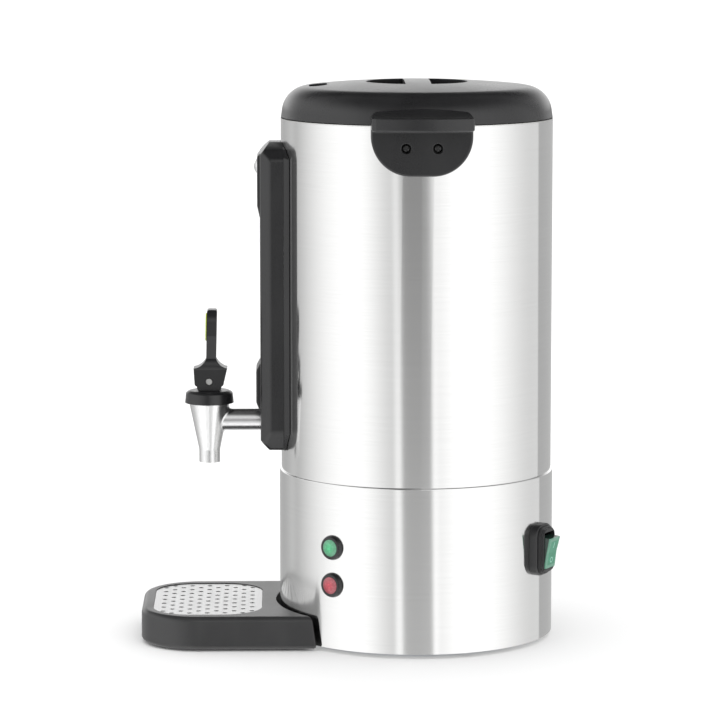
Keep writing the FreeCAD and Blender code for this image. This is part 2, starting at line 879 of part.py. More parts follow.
def build_lid_shell():
    bottom = lid_level()
    shoulder = bottom + S.lid_shoulder
    top = bottom + S.lid_height
    wall = S.lid_wall
    edge = S.lid_radius - S.lid_lean
    rise = S.lid_height - S.lid_shoulder
    crown = (edge * edge + rise * rise) / (2 * rise)
    flat = S.lid_crown_flat
    body = turned("lid_shell", [
        (S.lid_radius, bottom), (edge, shoulder, crown), (flat, top), (0, top), (0, top - wall),
        (flat, top - wall, -crown), (edge - wall - S.lid_corner * 0.42, shoulder - wall + 0.9),
        (edge - wall + 1.4, shoulder - S.lid_corner * 0.6), (S.lid_radius - wall, bottom)])
    soften(body, lambda item: flat_at(item, shoulder) and near(item.BoundBox.XMax, edge), S.lid_corner)
    well_floor = top - S.well_depth
    straight = S.grip_width / 2
    for side in (-1, 1):
        cup = new_sketch(body, "XY", well_floor - S.well_wall)
        half_moon(cup, S.well_radius + S.well_wall, straight - S.well_wall, side)
        pad(body, cup, S.well_depth + S.well_wall - wall)
    for side in (-1, 1):
        well = new_sketch(body, "XY", well_floor)
        half_moon(well, S.well_radius, straight, side)
        pocket(body, well, back=True)
    slot = new_sketch(body, "XY", bottom + S.lid_shoulder / 2)
    half = S.vent_slot / 2
    reach = (S.vent_length - S.vent_slot) / 2
    outline(slot, [
        (-reach, -S.vent_offset - half), (reach, -S.vent_offset - half, half),
        (reach + half, -S.vent_offset, half), (reach, -S.vent_offset + half),
        (-reach, -S.vent_offset + half, half), (-reach - half, -S.vent_offset, half)])
    pocket(body, slot, back=True)
    foot = S.liner_level + S.liner_thickness
    for number in range(3):
        x, y = around(S.lid_screw_circle, 90.0 + 120.0 * number)
        rod(body, "Additive", S.lid_boss_radius, top - wall - 1.5 - foot, (x, y, foot), "Z")
        rod(body, "Subtractive", S.lid_screw_radius + 0.02, 14.0, (x, y, foot - 1), "Z")
    keep(body)


def build_lid_liner():
    low = S.liner_level
    high = low + S.liner_thickness
    inner = S.spigot_radius - S.spigot_wall
    body = turned("lid_liner", [
        (0, low), (inner, low), (inner, high - S.spigot_depth), (S.spigot_radius, high - S.spigot_depth),
        (S.spigot_radius, low), (S.liner_radius, low), (S.liner_radius, high), (0, high)])
    lug = new_sketch(body, "XY", S.tab_level - S.lug_thickness - 1.2)
    sector(lug, S.spigot_radius - S.spigot_wall / 2, S.spigot_radius + S.lug_reach, S.lug_start_angle,
           S.lug_half_angle)
    raised = pad(body, lug, S.lug_thickness)
    repeat_round(body, raised, S.bayonet_count)
    screws = []
    for number in range(3):
        x, y = around(S.lid_screw_circle, 90.0 + 120.0 * number)
        rod(body, "Subtractive", S.lid_screw_radius + 0.1, 10.0, (x, y, low - 3), "Z")
        piece = screw(f"lid_screw_{number}", S.lid_screw_radius, Size.of(10.0), Size.of(3.2), Size.of(1.8))
        screws.append(place(piece, x, y, low, FreeCAD.Rotation(V(1, 0, 0), 180)))
    for number in range(-2, 3):
        x, y = around(S.vent_offset, -90.0 + 7.0 * number)
        rod(body, "Subtractive", 2.5, 10.0, (x, y, low - 3), "Z")
    keep(body)
    seal_low = S.rim_level + S.seat_gap
    seal_high = low - S.seat_gap
    middle = (seal_low + seal_high) / 2
    seal_inner = S.spigot_radius + S.seat_gap
    keep(turned("lid_seal", [
        (seal_inner, seal_low - 3.2), (seal_inner + 3, seal_low - 3.2), (seal_inner + 3, seal_low),
        (S.seal_outer, seal_low), (S.seal_outer - 1.2, middle), (S.seal_outer, seal_high),
        (seal_inner, seal_high)]))
    group("lid_screws", screws)


# Handles
def build_handle(label, angle):
    half = S.handle_width / 2
    back = S.shell_radius - 14
    body = new_body(label)
    side = new_sketch(body, "XZ")
    outline(side, [
        (back, S.handle_bottom), (S.plate_front, S.handle_bottom), (S.plate_front, S.grip_bottom),
        (S.grip_front, S.grip_bottom), (S.grip_front, S.crown_level), (back, S.crown_level)])
    pad(body, side, S.handle_width + 2, both=True)
    soften(body, lambda edge: near(edge.BoundBox.XMin, S.plate_front) and near(edge.BoundBox.XMax, S.plate_front)
           and flat_at(edge, S.grip_bottom), 3.0)
    front = new_sketch(body, "YZ")
    corner = S.handle_corner
    bend = S.crown_corner
    run = half - bend
    rise = S.crown_level - S.crown_side
    crown = (run * run + rise * rise) / (2 * rise)
    rectangle(front, -half - 20, S.handle_bottom - 20, half + 20, S.crown_level + 20)
    outline(front, [
        (-half, S.crown_side - bend), (-half, S.handle_bottom + corner, corner), (corner - half, S.handle_bottom),
        (half - corner, S.handle_bottom, corner), (half, S.handle_bottom + corner),
        (half, S.crown_side - bend, bend), (run, S.crown_side, crown), (-run, S.crown_side, bend)])
    pocket(body, front, S.grip_front * 3, both=True)
    plan = new_sketch(body, "XY")
    rectangle(plan, back - 20, -half - 20, S.grip_front + 20, half + 20)
    bow = S.grip_round
    axis = S.grip_front - bow
    wide = half + 5
    ends = axis + root(bow * bow - wide * wide)
    outline(plan, [(back - 5, -wide), (ends, -wide, bow), (ends, wide), (back - 5, wide)])
    pocket(body, plan, S.crown_level * 3, both=True)
    dish = new_sketch(body, "XZ")
    set_size(dish, "AttachmentOffset.Base.x", axis)
    lip = bow - S.grip_lip_width
    outline(dish, [
        (lip, S.grip_lip, -S.grip_dish), (S.plate_front - 2 - axis, S.crown_level),
        (S.plate_front - 2 - axis, S.crown_level + 5), (bow + 20, S.crown_level + 5), (bow + 20, S.grip_lip)])
    revolve(body, dish, "Groove")
    corners = new_sketch(body, "XY")
    rectangle(corners, back - 20, -half - 20, S.grip_front + 20, half + 20)
    turn = S.grip_corner
    bow = bow + 0.15
    inside = half + 0.15 - turn
    run = root((bow - turn) * (bow - turn) - inside * inside)
    meet_x = axis + run * bow / (bow - turn)
    meet_y = inside * bow / (bow - turn)
    outline(corners, [
        (back - 5, -half - 0.15), (axis + run, -half - 0.15, turn), (meet_x, -meet_y, bow), (meet_x, meet_y, turn),
        (axis + run, half + 0.15), (back - 5, half + 0.15)])
    pocket(body, corners, S.crown_level * 3, both=True)
    soften(body, lambda edge: handle_rim(edge), S.handle_edge)
    rod(body, "Subtractive", S.shell_radius + S.seat_gap, 100.0, (0, 0, S.handle_bottom - 20), "Z")
    side_screw_holes(body, S.screw_radius + 0.1, S.shell_radius - 10, "X")
    recess = S.screw_head_radius + 0.4
    side_screw_holes(body, recess, S.plate_front - S.screw_sink, "X")
    soften(body, lambda edge: near(edge.BoundBox.XMin, S.plate_front) and near(edge.BoundBox.YLength, recess * 2),
           S.screw_recess_bevel, "Chamfer")
    body.Placement = FreeCAD.Placement(V(0, 0, 0), FreeCAD.Rotation(V(0, 0, 1), angle))
    return keep(body)


def handle_rim(edge):
    """The outer edges of the handle's plate and of its grip."""
    box = edge.BoundBox
    plate = near(box.XMin, S.plate_front) and near(box.XMax, S.plate_front) and box.ZMax < S.grip_bottom.value - 2
    middle = edge.CenterOfMass
    grip = box.XMin > S.plate_front.value - 3 and middle.x > S.grip_front.value - 12 and box.ZMax < S.grip_lip.value + 1
    return plate or (grip and flat_at(edge, S.grip_bottom))


def build_handle_fixings():
    screws = []
    nuts = []
    for number, (side, spread) in enumerate(((1, -1), (1, 1), (-1, -1), (-1, 1))):
        seat = S.plate_front - S.screw_sink
        inner = S.shell_radius - S.shell_wall
        length = seat - inner + S.nut_height + 2.5
        y = spread * S.handle_screw_spread / 2
        piece = screw(f"handle_screw_{number}", S.screw_radius, length, S.screw_head_radius, S.screw_head_height)
        turn = FreeCAD.Rotation(V(0, 0, 1), AXES["X"] if side > 0 else AXES["-X"])
        screws.append(place(piece, side * seat, y, S.handle_screw_level, turn))
        rear = nut(f"handle_nut_{number}", S.nut_radius, S.nut_height, S.screw_radius + 0.1)
        far = S.handle_screw_spread / 2 + S.nut_radius
        back = root(inner * inner - far * far) - 0.1 - S.nut_height
        nuts.append(place(rear, side * back, y, S.handle_screw_level, turn))
    group("handle_screws", screws)
    group("handle_nuts", nuts)


# Gauge column
def column_plan(sketch, inset, rear):
    """The column's outline from above, drawn in by an inset, open to a rear line."""
    half = S.column_half_width - inset
    face = S.column_face_half_width - inset * 0.6
    outline(sketch, [
        (-half, -rear), (-half, -S.column_side_front + inset * 0.4), (-face, inset - S.column_front),
        (face, inset - S.column_front), (half, -S.column_side_front + inset * 0.4), (half, -rear)])


def bevel_ends(body, half):
    """Slope the column's four corners, seen from the front, where it is a half width wide."""
    for side in (-1, 1):
        inner = side * (S.column_half_width - S.end_bevel)
        outer = side * (half + 5)
        corner = side * half
        crest = side * S.crest_half_width
        corners = [(crest, S.column_top), (inner, S.column_top - S.crest_drop),
                   (corner, S.column_top - S.top_bevel_height), (outer, S.column_top - S.top_bevel_height),
                   (outer, S.column_top + 5), (crest, S.column_top + 5)]
        cut = new_sketch(body, "XZ")
        outline(cut, corners)
        pocket(body, cut, S.column_front * 4, both=True)
        corners = [(inner, S.column_bottom), (corner, S.column_bottom + S.foot_bevel_height),
                   (outer, S.column_bottom + S.foot_bevel_height), (outer, S.column_bottom - 5),
                   (inner, S.column_bottom - 5)]
        cut = new_sketch(body, "XZ")
        outline(cut, corners)
        pocket(body, cut, S.column_front * 4, both=True)


def build_gauge_cover():
    body = new_body("gauge_cover")
    plan = new_sketch(body, "XY", S.column_bottom)
    column_plan(plan, Size.of(0.0), S.column_parting)
    pad(body, plan, S.column_top - S.column_bottom)
    side = new_sketch(body, "YZ")
    front = S.column_front
    outline(side, [
        (1 - front, S.lower_boss_foot - 6), (-front, S.lower_boss_foot), (-S.lower_boss_front, S.lower_boss_bottom),
        (-S.lower_boss_front, S.lower_boss_top), (-front, S.lower_boss_crest), (1 - front, S.lower_boss_crest + 4)])
    pad(body, side, S.boss_half_width * 2, both=True)
    side = new_sketch(body, "YZ")
    outline(side, [
        (1 - front, S.upper_boss_foot - 5), (-front, S.upper_boss_foot), (-S.upper_boss_front, S.upper_boss_bottom),
        (-S.upper_boss_front, S.upper_boss_top), (1 - front, S.upper_boss_top + 4)])
    pad(body, side, S.boss_half_width * 2, both=True)
    bevel_ends(body, S.column_half_width)
    ends = new_sketch(body, "YZ")
    slope = front - 8
    outline(ends, [
        (-slope, S.column_top), (-slope, S.column_top + 6), (-front - 9, S.column_top + 6),
        (-front - 9, S.column_top - S.top_front_bevel - 4.6), (-front - 2.2, S.column_top - S.top_front_bevel)])
    pocket(body, ends, S.column_half_width * 4, both=True)
    ends = new_sketch(body, "YZ")
    outline(ends, [
        (-slope - 0.6, S.column_bottom), (-front, S.column_bottom + S.foot_front_bevel),
        (-front - 8, S.column_bottom + S.foot_front_bevel), (-front - 8, S.column_bottom - 6),
        (-slope - 0.6, S.column_bottom - 6)])
    pocket(body, ends, S.column_half_width * 4, both=True)
    wall = S.column_wall
    hollow = new_sketch(body, "XY", S.column_bottom + S.foot_bevel_height)
    column_plan(hollow, wall, S.column_parting - 10)
    pocket(body, hollow, S.column_top - S.column_bottom - S.foot_bevel_height - S.top_bevel_height, back=True)
    hollow = new_sketch(body, "XZ", S.column_parting - 10)
    half = S.column_half_width - S.end_bevel - wall
    rectangle(hollow, -half, S.column_bottom + wall * 2, half, S.column_top - S.crest_drop - wall * 2)
    pocket(body, hollow, S.column_front - S.column_parting + 10 - wall * 3.5, back=True)
    rod(body, "Subtractive", S.shell_radius + S.seat_gap, 300.0, (0, 0, S.column_bottom - 20), "Z")
    window = new_sketch(body, "XZ", front - wall - 1)
    half = S.window_half_width
    outline(window, [
        (-half, S.window_bottom + half, half), (0, S.window_bottom, half), (half, S.window_bottom + half),
        (half, S.window_top - half, half), (0, S.window_top, half), (-half, S.window_top - half)])
    pocket(body, window, Size.of(12.0), back=True)
    rod(body, "Subtractive", S.tee_radius + S.seat_gap, S.tee_front + S.seat_gap - S.column_parting + 10,
        (0, 10 - S.column_parting, S.neck_level), "-Y")
    rod(body, "Subtractive", S.neck_radius + S.seat_gap, 30.0, (0, -S.column_parting, S.neck_level), "-Y")
    rod(body, "Subtractive", S.vent_pipe_radius + S.seat_gap, 30.0, (0, -S.column_parting, S.cap_level), "-Y")
    keep(body)


def build_gauge_frame():
    body = new_body("gauge_frame")
    rails = new_sketch(body, "XY", S.column_bottom)
    half = S.column_half_width
    seat = S.column_seat_half_width
    face = 0.1 - S.column_parting
    outline(rails, [(-half, face), (half, face), (seat, -S.column_back), (-seat, -S.column_back)])
    pad(body, rails, S.column_top - S.column_bottom)
    bevel_ends(body, seat)
    saddle = new_sketch(body, "XY", S.column_bottom + S.foot_bevel_height + 1)
    reach = S.saddle_half_width
    outer = S.shell_radius + S.seat_gap + S.saddle_thickness
    deep = root(outer * outer - reach * reach)
    outline(saddle, [(reach, -S.column_back - 1), (-reach, -S.column_back - 1), (-reach, -deep, outer),
                     (0, -outer, outer), (reach, -deep)])
    pad(body, saddle, S.column_top - S.column_bottom - S.foot_bevel_height - S.top_bevel_height - 4)
    rod(body, "Subtractive", S.shell_radius + S.seat_gap, 300.0, (0, 0, S.column_bottom - 20), "Z")
    rod(body, "Subtractive", S.tee_radius + S.seat_gap, 60.0, (0, -80, S.neck_level), "-Y")
    rod(body, "Subtractive", S.fitting_radius + S.seat_gap, 60.0, (0, -80, S.cap_level), "-Y")
    keep(body)


def build_gauge_fittings():
    """The tube and the two fittings that hold it, and the plug on the front."""
    foot = S.neck_level + S.tee_radius + S.tee_branch
    glass_low = foot - 6
    glass_high = S.cap_level - S.fitting_radius - S.seal_height
    glass = turned("sight_glass", [
        (S.glass_radius - S.glass_wall, glass_low), (S.glass_radius, glass_low), (S.glass_radius, glass_high + 6),
        (S.glass_radius - S.glass_wall, glass_high + 6)])
    keep(place(glass, 0, -S.glass_offset))
    seals = []
    for name, level in (("gauge_seal_low", foot + 0.1), ("gauge_seal_high", glass_high - 0.1)):
        seal = turned(name, [
            (S.glass_radius + 0.1, level), (S.fitting_radius, level), (S.fitting_radius, level + S.seal_height),
            (S.glass_radius + 0.1, level + S.seal_height)])
        seals.append(place(seal, 0, -S.glass_offset))
    group("gauge_seals", seals)

    upper = turned("upper_gauge_fitting", [
        (0, S.cap_level - S.fitting_radius), (S.fitting_radius, S.cap_level - S.fitting_radius),
        (S.fitting_radius, S.cap_level + S.fitting_radius), (0, S.cap_level + S.fitting_radius)])
    inward = S.glass_offset - S.tank_radius + 3
    rod(upper, "Additive", S.vent_pipe_radius, inward, (0, 0, S.cap_level), "Y")
    rod(upper, "Subtractive", S.glass_radius + 0.1, 6.0, (0, 0, S.cap_level - S.fitting_radius - 0.5), "Z")
    bore = S.vent_pipe_bore
    rod(upper, "Subtractive", bore - 0.4, S.fitting_radius, (0, 0, S.cap_level - S.fitting_radius), "Z")
    rod(upper, "Subtractive", bore, inward + S.fitting_radius + 6, (0, -S.fitting_radius - 1, S.cap_level), "Y")
    keep(place(upper, 0, -S.glass_offset))

    cap = turned("gauge_cap", [
        (0, 0), (S.cap_radius, 0), (S.cap_radius, 1.6), (S.cap_radius - 1.2, S.cap_front - S.upper_boss_front),
        (0, S.cap_front - S.upper_boss_front)])
    plug = S.upper_boss_front - S.glass_offset - S.fitting_radius + 3
    rod(cap, "Additive", S.vent_pipe_bore - 0.1, plug, (0, 0, -plug), "Z")
    keep(place(cap, 0, -S.upper_boss_front, S.cap_level, FreeCAD.Rotation(V(0, 0, 1), V(0, -1, 0))))


# Tap
def build_tap():
    wall = S.tap_wall
    body = turned("tap_body", [
        (0, S.nozzle_level), (S.nozzle_radius, S.nozzle_level), (S.nozzle_radius, S.nozzle_level + S.nozzle_length),
        (S.cone_radius, S.cone_top), (S.bonnet_thread_radius - 0.3, S.cone_top),
        (S.bonnet_thread_radius - 0.3, S.bonnet_inside - 0.3), (0, S.bonnet_inside - 0.3)])
    neck = S.tap_offset - S.tee_front + S.neck_socket
    rod(body, "Additive", S.neck_radius, neck, (0, 0, S.neck_level), "Y")
    soften(body, neck_joint, S.neck_flare)
    inner = new_sketch(body, "XZ")
    slope_radius = S.nozzle_radius + (S.cone_radius - S.nozzle_radius) * (
        (S.seat_level - S.nozzle_level - S.nozzle_length) / (S.cone_top - S.nozzle_level - S.nozzle_length))
    outline(inner, [
        (0, S.nozzle_level - 1), (S.nozzle_bore, S.nozzle_level - 1), (S.nozzle_bore, S.seat_level - 5),
        (S.seat_bore, S.seat_level - 3), (S.seat_bore, S.seat_level), (slope_radius - wall, S.seat_level),
        (S.cone_radius - wall - 0.3, S.cone_top), (S.cone_radius - wall - 0.3, S.bonnet_inside + 1),
        (0, S.bonnet_inside + 1)])
    revolve(body, inner, "Groove")
    rod(body, "Subtractive", S.neck_bore, neck + 5, (0, 0, S.neck_level), "Y")
    keep(place(body, 0, -S.tap_offset))

    top = S.pin_level - S.lever_drop - 0.15
    bonnet = turned("tap_bonnet", [
        (S.bonnet_thread_radius, S.bonnet_level), (S.bonnet_radius, S.bonnet_level),
        (S.bonnet_radius - S.bonnet_draft, S.bonnet_level + S.bonnet_band, 6.4), (S.bonnet_top_radius, top),
        (S.stem_radius + S.running_gap, top), (S.stem_radius + S.running_gap, S.bonnet_inside),
        (S.bonnet_thread_radius, S.bonnet_inside)])
    keep(place(bonnet, 0, -S.tap_offset))

    shoulder = S.pin_level - S.eye_radius + 1.6
    stem = turned("tap_stem", [
        (0, S.stem_bottom), (S.stem_radius, S.stem_bottom), (S.stem_radius, shoulder), (0, shoulder)])
    rod(stem, "Additive", S.eye_radius, S.eye_half_width * 2, (-S.eye_half_width, 0, S.pin_level), "X")
    rod(stem, "Subtractive", S.pin_radius + S.running_gap, 20.0, (-10, 0, S.pin_level), "X")
    keep(place(stem, 0, -S.tap_offset))

    cup_low = S.seat_level + 0.2
    cup_top = cup_low + S.cup_height
    keep(place(turned("seat_cup", [
        (0, cup_low + 3), (S.cup_radius - 2.6, cup_low + 2), (S.cup_radius - 1.6, cup_low), (S.cup_radius, cup_low),
        (S.cup_radius - 0.6, cup_low + 6), (S.stem_radius + 1.8, cup_top), (S.stem_radius + 0.02, cup_top),
        (S.stem_radius + 0.02, S.stem_bottom - 0.1), (0, S.stem_bottom - 0.1)]), 0, -S.tap_offset))

    spring_low = cup_top + S.spring_wire + 0.1
    spring_high = S.bonnet_inside - S.spring_wire - 0.1
    keep(build_spring(spring_low, spring_high))


def neck_joint(edge):
    """The line where the tap's pipe leaves its cone."""
    box = edge.BoundBox
    round_pipe = abs(box.XLength - 2 * S.neck_radius.value) < 0.2 or abs(box.XLength - S.neck_radius.value) < 0.2
    return round_pipe and box.YMax < S.cone_radius.value and box.YMin > 0 and box.ZLength > S.neck_radius.value


def build_spring(low, high):
    """A round wire spring about the stem."""
    pitch = (high - low).value / S.spring_turns.value
    helix = Part.makeHelix(pitch, (high - low).value, S.spring_radius.value)
    wire = Part.Wire(Part.Circle(V(S.spring_radius.value, 0, 0), V(0, 1, 0), S.spring_wire.value).toShape())
    spring = document.addObject("Part::Feature", "tap_spring")
    spring.Shape = Part.Wire(helix).makePipeShell([wire], True, True)
    spring.Placement = FreeCAD.Placement(V(0, -S.tap_offset.value, low.value), FreeCAD.Rotation())
    return spring


def build_tee():
    """The shank that runs through both walls, with the gauge's socket on top, and what holds it."""
    length = S.tee_front - S.shell_radius - 1
    tee = turned("shank_tee", [(0, 0), (S.tee_radius, 0), (S.tee_radius, length), (0, length)])
    rod(tee, "Additive", S.shank_radius, S.tee_front - S.shank_inner_end, (0, 0, 0), "Z")
    branch = S.tee_radius + S.tee_branch
    centre = S.tee_front - S.glass_offset
    rod(tee, "Additive", S.fitting_radius, branch, (0, 0, centre), "Y")
    rod(tee, "Subtractive", S.neck_radius + S.running_gap, S.neck_socket + 0.2, (0, 0, -0.1), "Z")
    rod(tee, "Subtractive", S.neck_bore, S.tee_front, (0, 0, 0), "Z")
    rod(tee, "Subtractive", S.glass_radius + 0.1, 6.4, (0, branch - 6.2, centre), "Y")
    rod(tee, "Subtractive", 2.6, branch, (0, 2, centre), "Y")
    turn = FreeCAD.Rotation(V(-1, 0, 0), V(0, 0, 1), V(0, 1, 0), "ZYX")
    keep(place(tee, 0, -S.tee_front, S.neck_level, turn))
    outward = FreeCAD.Rotation(V(0, 0, 1), V(0, -1, 0))
    seat = root(S.tank_radius * S.tank_radius - S.washer_radius * S.washer_radius) - 0.1
    bore = S.shank_radius + 0.1
    washer = turned("shank_washer", [
        (bore, 0), (S.washer_radius, 0), (S.washer_radius, S.washer_thickness), (bore, S.washer_thickness)])
    keep(place(washer, 0, S.washer_thickness - seat, S.neck_level, outward))
    back = seat - S.washer_thickness - 0.1
    piece = nut("shank_nut", S.shank_nut_radius, S.shank_nut_height, bore)
    keep(place(piece, 0, S.shank_nut_height - back, S.neck_level, outward))


def build_lever():
    cam = S.lever_cam_centre
    drop = S.lever_drop
    turn = S.lever_cam_radius
    plate = S.plate_reach
    corner = S.plate_corner
    low = S.plate_drop
    body = new_body("tap_lever")
    side = new_sketch(body, "YZ")
    lean = S.stalk_lean
    tip = 1.5
    outline(side, [
        (-cam, -drop), (cam, -drop, turn), (cam + turn, turn - drop), (cam + turn, -low),
        (plate - corner, -low, corner), (plate, corner - low), (S.shoulder_back, S.shoulder_rise, -S.shoulder_hollow),
        (S.stalk_back, S.stalk_rise), (S.stalk_back + lean, S.lever_top - tip, tip),
        (S.stalk_back + lean - tip, S.lever_top), (lean - S.stalk_front + tip, S.lever_top, tip),
        (lean - S.stalk_front, S.lever_top - tip), (-S.stalk_front, S.stalk_rise, -S.shoulder_hollow),
        (-S.shoulder_front, S.shoulder_rise), (-plate, corner - low, corner), (corner - plate, -low),
        (-cam - turn, -low), (-cam - turn, turn - drop, turn)])
    pad(body, side, S.paddle_half_width * 2, both=True)
    face = new_sketch(body, "XZ")
    wide = S.paddle_half_width
    rectangle(face, -wide - 10, -drop - 10, wide + 10, S.lever_top + 10)
    outline(face, [
        (-S.lever_half_width, -drop - 1), (S.lever_half_width, -drop - 1),
        (S.lever_half_width, S.shoulder_rise - 1, 9.0), (S.stalk_half_width, S.stalk_rise),
        (wide, S.paddle_rise), (wide, S.lever_top - wide, wide), (0, S.lever_top + 0.02, wide),
        (-wide, S.lever_top - wide), (-wide, S.paddle_rise), (-S.stalk_half_width, S.stalk_rise, 9.0),
        (-S.lever_half_width, S.shoulder_rise - 1)])
    pocket(body, face, S.lever_top * 3, both=True)
    gap = S.seat_gap
    block(body, "Subtractive", (-S.eye_half_width - gap, -cam - 1.4, -drop - 1),
          (S.eye_half_width + gap, S.eye_radius + 0.6, S.eye_radius + 0.6))
    rod(body, "Subtractive", S.pin_radius + 0.02, 40.0, (-20, 0, 0), "X")
    keep(place(body, 0, -S.tap_offset, S.pin_level))


def build_lever_trim():
    rise = S.pad_half_height
    wide = S.pad_half_width
    body = new_body("thumb_pad")
    face = new_sketch(body, "XZ", S.stalk_front + 0.1)
    outline(face, [
        (-wide, wide - rise, wide), (0, -rise, wide), (wide, wide - rise), (wide, rise - wide, wide),
        (0, rise, wide), (-wide, rise - wide)])
    pad(body, face, S.pad_proud)
    soften(body, lambda edge: near(edge.BoundBox.YMin, -(S.stalk_front + 0.1 + S.pad_proud))
           and near(edge.BoundBox.YMax, -(S.stalk_front + 0.1 + S.pad_proud)), 0.6)
    run = S.pad_rise - S.stalk_rise
    lean = S.stalk_lean / (S.lever_top - S.stalk_rise)
    angle = math.degrees(math.atan(lean.value))
    keep(place(body, 0, -S.tap_offset + lean * run, S.pin_level + S.pad_rise,
               FreeCAD.Rotation(V(1, 0, 0), -angle)))
    half = S.lever_half_width + S.pin_head_height
    head = S.pin_head_height
    pin = turned("lever_pin", [
        (0, -half), (S.pin_head_radius - 0.3, -half), (S.pin_head_radius, 0.1 - half + head / 2),
        (S.pin_head_radius, -half + head - 0.05), (S.pin_radius, -half + head - 0.05),
        (S.pin_radius, half - head + 0.05), (S.pin_head_radius, half - head + 0.05),
        (S.pin_head_radius, half - 0.1 - head / 2), (S.pin_head_radius - 0.3, half), (0, half)])
    keep(place(pin, 0, -S.tap_offset, S.pin_level, FreeCAD.Rotation(V(0, 1, 0), 90)))


# Lamps
def curved_back(body, tool_radius):
    """Cut a piece that stands on the shell to the shell's curve."""
    rod(body, "Subtractive", tool_radius, 120.0, (0, -60, -S.base_radius), "Y")


def build_lamp(colour, level):
    bezel = turned(f"{colour}_lamp_bezel", [
        (S.lens_radius + 0.1, 1.5), (S.lens_radius + 0.1, S.bezel_height), (S.bezel_rim_radius, S.bezel_height),
        (S.bezel_rim_radius + 0.9, S.bezel_height - 0.7), (S.bezel_radius, 0.8), (S.bezel_radius, -1.2),
        (S.barrel_radius, -1.2), (S.barrel_radius, -S.barrel_length), (S.lens_radius - 1.5, -S.barrel_length),
        (S.lens_radius - 1.5, 1.5)])
    cutter = new_sketch(bezel, "XZ")
    outer = S.base_radius + 0.1
    drop = outer - root(outer * outer - S.bezel_radius * S.bezel_radius)
    outline(cutter, [(S.barrel_radius + 0.01, -2.5), (S.bezel_radius + 1, -2.5), (S.bezel_radius + 1, 0.1 - drop * 0.3),
                     (S.barrel_radius + 0.01, 0.15)])
    revolve(bezel, cutter, "Groove")
    keep(on_shell(bezel, S.lamp_angle, level))
    rise = S.lens_height - S.bezel_height
    dome = (S.lens_radius * S.lens_radius + rise * rise) / (2 * rise)
    flat = Size.of(0.6)
    lens = turned(f"{colour}_lamp_lens", [
        (0, -3), (S.lens_radius - 1.7, -3), (S.lens_radius - 1.7, 1.6), (S.lens_radius, 1.6),
        (S.lens_radius, S.bezel_height, dome), (flat, S.lens_height), (0, S.lens_height)])
    keep(on_shell(lens, S.lamp_angle, level))
    seat = -S.base_wall - 0.9 - S.lamp_nut_height
    return on_shell(nut(f"{colour}_lamp_nut", S.lamp_nut_radius, S.lamp_nut_height, S.barrel_radius + 0.1),
                    S.lamp_angle, level, seat)


# Switch
def switch_box_width():
    return S.rocker_width + 2 * S.cheek_thickness + 1.0


def switch_box_height():
    return 2 * S.rocker_half_height + 2.0


